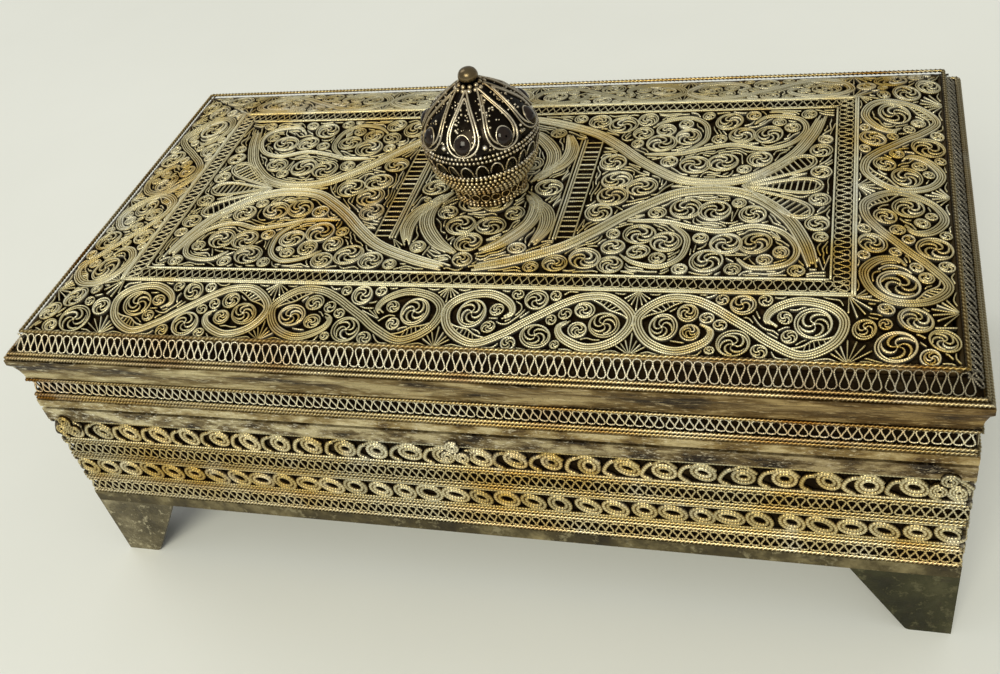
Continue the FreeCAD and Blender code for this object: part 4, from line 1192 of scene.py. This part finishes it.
def new_material(name):
    """An empty node material with its shader and a place in the object's own space."""
    made = bpy.data.materials.new(name)
    made.use_nodes = True
    tree = made.node_tree
    shader = tree.nodes["Principled BSDF"]
    place = tree.nodes.new("ShaderNodeTexCoord")
    return made, tree, shader, place.outputs["Object"]


def feed(tree, source, socket):
    """Gives an input its value, which is another node's output, a colour or a number."""
    if isinstance(source, bpy.types.NodeSocket):
        tree.links.new(source, socket)
    elif socket.type == "RGBA":
        socket.default_value = (*source, 1.0)
    else:
        socket.default_value = source


def node(tree, kind, inputs):
    """A new node with its inputs fed."""
    made = tree.nodes.new("ShaderNode" + kind)
    for key, source in inputs.items():
        feed(tree, source, made.inputs[key])
    return made


def noise(tree, place, scale, detail=4.0, roughness=0.6, stretch=None):
    """Noise of a scale, stretched along an axis if asked."""
    if stretch:
        place = node(tree, "Mapping", {"Vector": place, "Scale": stretch}).outputs["Vector"]
    inputs = {"Vector": place, "Scale": scale, "Detail": detail, "Roughness": roughness}
    return node(tree, "TexNoise", inputs).outputs["Fac"]


def ramp(tree, value, stops):
    """Colours by value, from (place, colour) stops."""
    made = node(tree, "ValToRGB", {"Fac": value})
    band = made.color_ramp
    while len(band.elements) < len(stops):
        band.elements.new(0.5)
    for element, (place, colour) in zip(band.elements, stops):
        element.position = place
        element.color = (*colour, 1.0)
    return made.outputs["Color"]


def limits(tree, value, low, high, to_low=0.0, to_high=1.0):
    """Value moved from one range to another, clamped."""
    inputs = {"Value": value, "From Min": low, "From Max": high, "To Min": to_low, "To Max": to_high}
    return node(tree, "MapRange", inputs).outputs["Result"]


def mixed(tree, share, first, second, blend="MIX"):
    """Two colours mixed by a share, each a socket or a plain colour."""
    made = tree.nodes.new("ShaderNodeMix")
    made.data_type = "RGBA"
    made.blend_type = blend
    for key, source in (("Factor", share), (6, first), (7, second)):
        feed(tree, source, made.inputs[key])
    return made.outputs[2]


def calc(tree, operation, first, second):
    """One sum of two sockets or numbers."""
    made = node(tree, "Math", {0: first, 1: second})
    made.operation = operation
    return made.outputs["Value"]


def split(tree, vector):
    """The three parts of a vector."""
    return node(tree, "SeparateXYZ", {"Vector": vector}).outputs


def bump(tree, shader, height, strength, distance):
    """Fine relief on a shader."""
    made = node(tree, "Bump", {"Strength": strength, "Distance": distance, "Height": height})
    tree.links.new(made.outputs["Normal"], shader.inputs["Normal"])


def wire_metal(
    name, stops, stain, pale, bead,
    notched=0.9, metallic=0.9, rough=(0.24, 0.42), silver=0.4, right=1.0, back=1.0,
):
    """Drawn wire: painted shade low down and a painted highlight on top, notched, with stains, gilt patches
    and pale wear that is also painted highlight.
    """
    made, tree, shader, place = new_material(name)
    attribute = tree.nodes.new("ShaderNodeAttribute")
    attribute.attribute_name = "wire"
    high, tint, run = split(tree, attribute.outputs["Vector"])
    x, y, _ = split(tree, place)
    # Notches along the run: painted shade in the grooves between beads, with a slight painted highlight on
    # the beads.
    notch = calc(tree, "SINE", calc(tree, "MULTIPLY", run, TURN / bead), 0.0)
    stained = limits(tree, noise(tree, place, STAIN_SCALE, 5.0), 0.5, 0.68)
    # The ramp by height paints shade low on each wire and a highlight on its top.
    colour = mixed(tree, stained, ramp(tree, high, stops), stain, "MULTIPLY")
    gilding = limits(tree, noise(tree, place, GILT_SCALE, 2.0), 0.46, 0.6, 0.0, 0.85)
    colour = mixed(tree, gilding, colour, GILT_TINT, "MULTIPLY")
    # Pale mix on wire tops: real wear and bare silver, and also painted highlight.
    worn = limits(tree, noise(tree, place, WEAR_SCALE, 3.0), 0.56, 0.72, 0.0, 0.55)
    bare = limits(tree, tint, 0.5, 1.0, 0.0, silver)
    colour = mixed(tree, calc(tree, "MULTIPLY", calc(tree, "ADD", worn, bare), high), colour, pale)
    # Random tone per wire, painted shade towards the right end, darker towards the back edge, and the
    # notches' painted shade.
    shades = (
        limits(tree, tint, 0.0, 1.0, 0.7, 1.1),
        limits(tree, x, *RIGHT_END, 1.0, right),
        limits(tree, y, *BACK_EDGE, 1.0, back),
        limits(tree, notch, -1.0, 1.0, notched, 1.05),
    )
    for shade in shades:
        colour = mixed(tree, 1.0, colour, shade, "MULTIPLY")
    tree.links.new(colour, shader.inputs["Base Color"])
    grit = noise(tree, place, GRIT_SCALE, 3.0)
    tree.links.new(limits(tree, grit, 0.3, 0.7, *rough), shader.inputs["Roughness"])
    shader.inputs["Metallic"].default_value = metallic
    bump(tree, shader, calc(tree, "ADD", notch, calc(tree, "MULTIPLY", grit, 1.5)), 0.35, WIRE_BUMP)
    return made


def sheet_metal(
    name, stops, scale, scratch, metallic, rough,
    stretch=None, relief=0.25, specular=0.5, right=WHITE,
):
    """Plain sheet: mottled tarnish, fine streaks, pits and pale scratches, darker towards its right end
    with painted shade and brown tarnish.
    """
    made, tree, shader, place = new_material(name)
    blotch = noise(tree, place, scale, 6.0, 0.65, stretch)
    streak = noise(tree, place, scale * 7, 4.0, 0.7, stretch)
    colour = mixed(tree, limits(tree, streak, 0.56, 0.66, 0.0, 0.85), ramp(tree, blotch, stops), scratch)
    pits = limits(tree, noise(tree, place, scale * 11, 3.0), 0.3, 0.42, 0.6, 0.0)
    colour = mixed(tree, pits, colour, PIT)
    # Darker towards the right end: painted shade with brown tarnish.
    colour = mixed(tree, limits(tree, split(tree, place)[0], *RIGHT_FADE), colour, right, "MULTIPLY")
    tree.links.new(colour, shader.inputs["Base Color"])
    tree.links.new(limits(tree, streak, 0.3, 0.7, *rough), shader.inputs["Roughness"])
    shader.inputs["Metallic"].default_value = metallic
    shader.inputs["Specular IOR Level"].default_value = specular
    bump(tree, shader, calc(tree, "ADD", streak, blotch), relief, SHEET_BUMP)
    return made


filigree = wire_metal(
    "filigree_silver_gilt",
    ((0.0, PAINTED_SHADE_BLACK), (0.7, (0.06, 0.037, 0.011)), (0.8, (0.7, 0.59, 0.29)), (1.0, (1.0, 0.96, 0.68))),
    stain=(0.88, 0.68, 0.27), pale=(1.0, 0.97, 0.8), bead=FINE_BEAD, metallic=0.72, silver=0.5,
    back=0.8,
)
lattice_wire = wire_metal(
    "lattice_silver",
    ((0.0, PAINTED_SHADE_BLACK), (0.7, (0.14, 0.1, 0.042)), (0.8, (0.72, 0.6, 0.36)), (1.0, (0.95, 0.87, 0.63))),
    stain=(0.8, 0.58, 0.26), pale=(0.95, 0.93, 0.85), bead=FINE_BEAD, right=0.3,
)
skirt_wire = wire_metal(
    "skirt_lattice_silver",
    ((0.0, PAINTED_SHADE_BLACK), (0.7, (0.14, 0.1, 0.042)), (0.8, (0.84, 0.72, 0.44)), (1.0, (1.0, 0.94, 0.7))),
    stain=(0.8, 0.58, 0.26), pale=(0.95, 0.93, 0.85), bead=FINE_BEAD,
)
wall_filigree = wire_metal(
    "wall_filigree_rubbed",
    ((0.0, WALL_SHADE), (0.7, (0.14, 0.095, 0.036)), (0.8, (0.6, 0.5, 0.27)), (1.0, (0.92, 0.85, 0.58))),
    stain=(0.85, 0.7, 0.34), pale=(0.96, 0.94, 0.82), bead=COARSE_BEAD, notched=0.6, silver=0.15,
)
twisted = wire_metal(
    "twisted_wire_gilt",
    ((0.0, ROPE_SHADE), (0.5, (0.36, 0.25, 0.09)), (0.8, (0.8, 0.65, 0.34)), (1.0, (0.95, 0.84, 0.56))),
    stain=(0.5, 0.32, 0.12), pale=(0.95, 0.9, 0.7), bead=LONG_BEAD, right=0.65,
)
pale_twisted = wire_metal(
    "twisted_wire_rubbed",
    ((0.0, ROPE_SHADE), (0.5, (0.4, 0.31, 0.14)), (0.8, (0.84, 0.75, 0.48)), (1.0, (0.96, 0.9, 0.68))),
    stain=(0.85, 0.66, 0.32), pale=(0.96, 0.93, 0.8), bead=LONG_BEAD,
)
oxidised = wire_metal(
    "oxidised_knob",
    ((0.0, KNOB_SHADE), (0.6, (0.07, 0.048, 0.024)), (0.8, (0.42, 0.35, 0.24)), (1.0, (0.86, 0.8, 0.67))),
    stain=(0.6, 0.46, 0.27), pale=(0.9, 0.87, 0.8), bead=LONG_BEAD, notched=1.0, metallic=0.85,
    rough=(0.18, 0.36),
)
knob_gilt = wire_metal(
    "knob_granulation",
    ((0.0, GRAIN_SHADE), (0.6, (0.1, 0.065, 0.022)), (0.85, (0.5, 0.38, 0.18)), (1.0, (0.9, 0.8, 0.56))),
    stain=(0.7, 0.48, 0.22), pale=(0.85, 0.78, 0.6), bead=LONG_BEAD, notched=1.0, rough=(0.2, 0.38),
)
rim_metal = sheet_metal(
    "rim_strip_worn",
    ((0.37, (0.025, 0.015, 0.005)), (0.48, (0.19, 0.138, 0.057)), (0.6, (0.64, 0.56, 0.34))),
    scale=420.0, scratch=(0.9, 0.86, 0.7), metallic=0.7, rough=(0.35, 0.6), stretch=ALONG_STRIP,
    relief=0.7, right=(0.6, 0.52, 0.42),
)
flange_metal = sheet_metal(
    "flange_strip_brown",
    ((0.36, (0.1, 0.06, 0.018)), (0.47, (0.34, 0.25, 0.1)), (0.6, (0.74, 0.65, 0.4))),
    scale=420.0, scratch=(0.9, 0.85, 0.66), metallic=0.75, rough=(0.32, 0.55), stretch=ALONG_STRIP,
    relief=0.7, right=(0.75, 0.66, 0.52),
)
dark_strip = sheet_metal(
    "plinth_strip_dull",
    ((0.36, (0.025, 0.018, 0.007)), (0.5, (0.09, 0.07, 0.028)), (0.66, (0.34, 0.28, 0.14))),
    scale=70.0, scratch=(0.3, 0.26, 0.15), metallic=0.7, rough=(0.4, 0.6),
)
moulding_metal = sheet_metal(
    "moulding_brown_gilt",
    ((0.37, (0.03, 0.018, 0.006)), (0.49, (0.22, 0.157, 0.06)), (0.6, (0.62, 0.53, 0.3))),
    scale=300.0, scratch=(0.85, 0.78, 0.55), metallic=0.75, rough=(0.3, 0.55),
    stretch=(0.22, 0.22, 1.3), relief=0.6, right=(0.58, 0.46, 0.3),
)
# Dark olive for the right feet and the floor plate, darker than the left feet as painted shade.
foot_painted_shade = sheet_metal(
    "foot_sheet_olive_painted_shade",
    ((0.36, (0.018, 0.017, 0.005)), (0.52, (0.042, 0.04, 0.013)), (0.72, (0.11, 0.1, 0.045))),
    scale=60.0, scratch=(0.12, 0.11, 0.055), metallic=0.6, rough=(0.4, 0.65),
)
# Paler worn sheet for the left feet: wear, and lighter as painted light.
worn_foot_painted_light = sheet_metal(
    "foot_sheet_worn_painted_light",
    ((0.36, (0.06, 0.048, 0.022)), (0.5, (0.13, 0.107, 0.055)), (0.66, (0.38, 0.33, 0.2))),
    scale=110.0, scratch=(0.5, 0.45, 0.3), metallic=0.65, rough=(0.35, 0.6), relief=0.5,
)
# Near-black lining behind the openwork: a dark lining whose colour also stands in for the shade inside the
# box.
liner_painted_shade = sheet_metal(
    "liner_dark_painted_shade",
    ((0.3, PAINTED_SHADE_BLACK), (0.6, (0.012, 0.007, 0.002)), (0.85, (0.03, 0.018, 0.006))),
    scale=80.0, scratch=(0.035, 0.022, 0.008), metallic=0.0, rough=(0.7, 0.95), specular=0.05,
)
fitting_metal = sheet_metal(
    "hinge_fittings_brass",
    ((0.25, (0.16, 0.11, 0.045)), (0.5, (0.3, 0.23, 0.1)), (0.8, (0.45, 0.37, 0.2))),
    scale=90.0, scratch=(0.55, 0.48, 0.3), metallic=0.85, rough=(0.3, 0.5),
)


def stone_material():
    """Dark glass paste with cloudy depth."""
    made, tree, shader, place = new_material("dark_stones")
    cloud = noise(tree, place, 700.0, 5.0)
    stops = ((0.3, (0.006, 0.004, 0.004)), (0.6, (0.02, 0.012, 0.008)), (0.85, (0.06, 0.045, 0.03)))
    tree.links.new(ramp(tree, cloud, stops), shader.inputs["Base Color"])
    tree.links.new(limits(tree, cloud, 0.3, 0.7, 0.05, 0.16), shader.inputs["Roughness"])
    shader.inputs["Specular IOR Level"].default_value = 0.3
    return made


# Pieces
def piece(name, store, material, body, node_name, place=None):
    """One object from a store, on its body, standing for its node."""
    points = np.concatenate(store.points)
    triangles = np.concatenate(store.triangles)
    if place is not None:
        points = points @ place[1] + place[0]
    mesh = bpy.data.meshes.new(name)
    mesh.vertices.add(len(points))
    mesh.vertices.foreach_set("co", (points * MM).astype(np.float32).ravel())
    mesh.loops.add(triangles.size)
    mesh.loops.foreach_set("vertex_index", triangles.astype(np.int32).ravel())
    mesh.polygons.add(len(triangles))
    mesh.polygons.foreach_set("loop_start", np.arange(0, triangles.size, 3, dtype=np.int32))
    mesh.polygons.foreach_set("use_smooth", np.ones(len(triangles), dtype=bool))
    mesh.update(calc_edges=True)
    mesh.validate()
    layer = mesh.attributes.new("wire", "FLOAT_VECTOR", "POINT")
    layer.data.foreach_set("vector", np.concatenate(store.values).astype(np.float32).ravel())
    made = bpy.data.objects.new(name, mesh)
    bpy.context.scene.collection.objects.link(made)
    mesh.materials.append(material)
    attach(made, body)
    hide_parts(node_name)


BORDER_UNITS = (4, 2)
BORDER_CORNERS = (8.0, 5.5)
BEVEL_OVER = 1.2
BEVEL_LOW = 1.5
BEVEL_TOP_GAP = 0.1
BEVEL_CELL = 1.48
BEVEL_THICK = 0.28
SKIRT_INSET = 0.3
SKIRT_LOW = 1.5
SKIRT_TOP_GAP = 0.7
SKIRT_CELL = 1.5
SKIRT_THICK = 0.25
border_rise = lid_top - edge_level
bevel_high = BEVEL_RUN * math.sqrt(2) - BEVEL_TOP_GAP
lattice_high = skirt_high[2] - skirt_low[2] - SKIRT_TOP_GAP

# The front and back panels first, then the right and left
for kind in range(2):
    border_run = edge_half[1 - kind] - frame_half[1 - kind]
    border_slope = math.hypot(border_run, border_rise)
    corner = BORDER_CORNERS[kind]
    border = border_panel(edge_half[kind], frame_half[kind], border_slope, BORDER_UNITS[kind], corner)
    bevel = Store()
    lattice(bevel, edge_half[kind] + BEVEL_OVER, BEVEL_LOW, bevel_high, BEVEL_CELL, BEVEL_THICK)
    skirt = Store()
    lattice(skirt, skirt_half[kind] - SKIRT_INSET, SKIRT_LOW, lattice_high, SKIRT_CELL, SKIRT_THICK)
    wall = wall_panel(wall_half[kind])
    for number in (kind, kind + 2):
        side = SIDES[number]
        place = side_place(number, edge_half, edge_level, border_run, border_rise)
        piece(side + "_border_scrolls", border, filigree, "lid", side + "_border_panel", place)
        place = side_place(number, lid_half, bevel_level, 1.0, 1.0)
        piece(side + "_bevel_lattice", bevel, lattice_wire, "lid", side + "_bevel_panel", place)
        place = side_place(number, skirt_half, skirt_low[2])
        piece(side + "_skirt_lattice", skirt, skirt_wire, "lid", side + "_skirt_panel", place)
        place = side_place(number, wall_half, 0.0)
        piece(side + "_wall_openwork", wall, wall_filigree, "base", side + "_wall_panel", place)

top_place = (UP * lid_top, np.eye(3))
piece("centre_scrolls", centre_panel(), filigree, "lid", "centre_panel", top_place)
piece("frame_lattice", frame_panel(), filigree, "lid", "frame_strips")

# Twisted wires round the walls
WALL_ROPE_INSET = 0.25
WALL_ROPE_BEAD = 0.7
wall_ropes = Store()
rope_feet = [upper_lattice_high, row_b_high + ROPE_HIGH, row_b_high]
rope_feet += [lower_lattice_high + ROPE_HIGH, lower_lattice_high, plinth_top]
for level in rope_feet:
    rope_loop(wall_ropes, wall_half - WALL_ROPE_INSET, level + ROPE_RADIUS, WALL_ROPE_BEAD)
piece("wall_ropes", wall_ropes, pale_twisted, "base", "wall_twisted_wires")

# Twisted wires of the lid, with a bar that closes the slit behind the edge rope, coloured in painted shade
EDGE_BAR_WIDE = 1.1
EDGE_BAR_HIGH = 1.4
EDGE_BAR_INSET = 0.4
EDGE_BAR_DROP = 0.2
EDGE_BAR_FIRST_CORNER = 3
PAINTED_SHADE_SHARE = 0.12
EDGE_ROPE_INSET = 3.508
EDGE_ROPE_LIFT = 0.35
EDGE_ROPE_BEAD = 0.8
BEVEL_ROPE_INSETS = (0.4, 0.95)
BEVEL_ROPE_BEAD = 0.6
SKIRT_ROPE_INSET = 1.1
SKIRT_ROPE_LEVELS = (skirt_high[2] - 0.4, skirt_low[2] + 0.4, skirt_low[2] + 1.2)
SKIRT_ROPE_BEAD = 0.65
lid_ropes = Store()
bar_path = loop_path(edge_half - EDGE_BAR_INSET, STEP, EDGE_BAR_FIRST_CORNER)
bar_level = edge_level - EDGE_BAR_DROP - EDGE_BAR_HIGH
bar_path = np.column_stack((bar_path, np.full(len(bar_path), bar_level)))
# Low height values give the bar the rope ramp's darkest colour: painted shade in the slit.
bar_section = STRIP_SECTION_SHARES * (1.0, PAINTED_SHADE_SHARE)
wire(lid_ropes, bar_path, EDGE_BAR_WIDE, high=EDGE_BAR_HIGH / PAINTED_SHADE_SHARE, closed=True, section=bar_section)
rope_loop(lid_ropes, lid_half - EDGE_ROPE_INSET, edge_level + EDGE_ROPE_LIFT, EDGE_ROPE_BEAD)
for inset in BEVEL_ROPE_INSETS:
    rope_loop(lid_ropes, lid_half - inset, bevel_level + inset, BEVEL_ROPE_BEAD)
for level in SKIRT_ROPE_LEVELS:
    rope_loop(lid_ropes, lid_half - SKIRT_ROPE_INSET, level, SKIRT_ROPE_BEAD)
piece("lid_ropes", lid_ropes, twisted, "lid", "lid_twisted_wires")

piece("knob_neck_beads", knob_collar(), knob_gilt, "lid", "knob_collar")
piece("knob_bowl_grains", knob_bowl(), knob_gilt, "lid", "knob_bowl")
piece("knob_petals", knob_dome(), oxidised, "lid", "knob_dome")
piece("knob_top_ball", knob_ball(), oxidised, "lid", "knob_ball")
piece("knob_cabochons", knob_stones(), stone_material(), "lid", "knob_stones")

front_coil = Store()
coil_trio(front_coil, 0.0, "front_coil_ornament")
piece("front_coils", front_coil, wall_filigree, "base", "front_coil_ornament")
corner_coils = Store()
corner_reach = span("corner_coil_ornaments")[1][0] - span("front_coil_ornament")[1][0]
for hand in (-1, 1):
    coil_trio(corner_coils, hand * corner_reach, "corner_coil_ornaments")
piece("corner_coils", corner_coils, wall_filigree, "base", "corner_coil_ornaments")

# Solid nodes that stay, with their finishes
# The liners' near-black colour stands in for the shade behind the openwork.
liners = ["base_liner_floor", "base_liner_walls"]
liners += [place + "_liner" for place in ("skirt", "border", "bevel", "centre")]
finishes = {
    rim_metal: ["rim_strips"],
    flange_metal: ["flange_strips"],
    dark_strip: ["plinth_strips"],
    moulding_metal: [side + "_moulding" for side in SIDES],
    foot_painted_shade: ["back_right_foot", "front_right_foot", "floor_plate"],
    worn_foot_painted_light: ["back_left_foot", "front_left_foot"],
    liner_painted_shade: liners,
    fitting_metal: ["base_hinge_knuckles", "lid_hinge_knuckles", "hinge_pin", "knob_stud", "knob_nut"],
}
for material, names in finishes.items():
    for name in names:
        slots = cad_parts[name].data.materials
        slots.clear()
        slots.append(material)

# Floor and light, in metres
FLOOR_HALF = 3.0
FLOOR_SCALE = 6.0
floor_mesh = bpy.data.meshes.new("table_top")
floor_corners = [(x * FLOOR_HALF, y * FLOOR_HALF, 0.0) for x, y in ((-1, -1), (1, -1), (1, 1), (-1, 1))]
floor_mesh.from_pydata(floor_corners, [], [(0, 1, 2, 3)])
floor = bpy.data.objects.new("table_top", floor_mesh)
bpy.context.scene.collection.objects.link(floor)
floor_paint, floor_tree, floor_shader, floor_place = new_material("pale_table")
floor_stops = ((0.3, (0.74, 0.75, 0.72)), (0.7, (0.78, 0.79, 0.765)))
floor_colour = ramp(floor_tree, noise(floor_tree, floor_place, FLOOR_SCALE), floor_stops)
floor_tree.links.new(floor_colour, floor_shader.inputs["Base Color"])
floor_shader.inputs["Roughness"].default_value = 0.7
floor_mesh.materials.append(floor_paint)


def lamp(name, place, target, size, power, colour):
    """A rectangular lamp that faces a target."""
    data = bpy.data.lights.new(name, "AREA")
    data.shape = "RECTANGLE"
    data.size, data.size_y = size
    data.energy = power
    data.color = colour
    made = bpy.data.objects.new(name, data)
    bpy.context.scene.collection.objects.link(made)
    made.location = place
    made.rotation_euler = (Vector(target) - Vector(place)).to_track_quat("-Z", "Y").to_euler()


lamp("window_left", (-2.0, 1.2, 2.2), (0.0, 0.0, 0.03), (1.3, 1.3), 9.5, (1.0, 0.99, 0.95))
lamp("soft_front", (-0.1, -2.2, 1.9), (0.0, 0.0, 0.04), (1.6, 1.2), 53.0, (1.0, 0.97, 0.79))

# The room's light, dimmer where metal mirrors it
world = bpy.context.scene.world or bpy.data.worlds.new("room")
bpy.context.scene.world = world
world.use_nodes = True
room = world.node_tree.nodes["Background"]
room.inputs["Color"].default_value = (0.99, 1.0, 0.96, 1.0)
seen = world.node_tree.nodes.new("ShaderNodeLightPath")
strength = limits(world.node_tree, seen.outputs["Is Glossy Ray"], 0.0, 1.0, 0.6, 0.35)
world.node_tree.links.new(strength, room.inputs["Strength"])

# Camera at the photograph's place
PICTURE_WIDE = 1000
FOCAL_PIXELS = 1094.1
SENSOR_WIDE = 36.0
NEAREST = 10.0
YAW = math.radians(-22.706)
PITCH = math.radians(40.693)
ROLL = math.radians(-13.193)
CAMERA_PLACE = np.array((59.2, -153.58, 167.3))
ahead = np.array((math.sin(YAW) * math.cos(PITCH), math.cos(YAW) * math.cos(PITCH), -math.sin(PITCH)))
level_right = np.array((math.cos(YAW), -math.sin(YAW), 0.0))
level_up = np.cross(level_right, ahead)
right = math.cos(ROLL) * level_right + math.sin(ROLL) * level_up
upright = -math.sin(ROLL) * level_right + math.cos(ROLL) * level_up
turned = np.eye(4)
turned[:3, :3] = np.column_stack((right, upright, -ahead))
turned[:3, 3] = CAMERA_PLACE * MM
camera_data = bpy.data.cameras.new("photo_view")
camera_data.sensor_width = SENSOR_WIDE
camera_data.sensor_fit = "HORIZONTAL"
camera_data.lens = FOCAL_PIXELS * SENSOR_WIDE / PICTURE_WIDE
camera_data.clip_start = NEAREST * MM
camera = bpy.data.objects.new("photo_view", camera_data)
camera.matrix_world = Matrix(turned.tolist())
bpy.context.scene.collection.objects.link(camera)
bpy.context.scene.camera = camera
bpy.context.scene.view_settings.view_transform = "Standard"
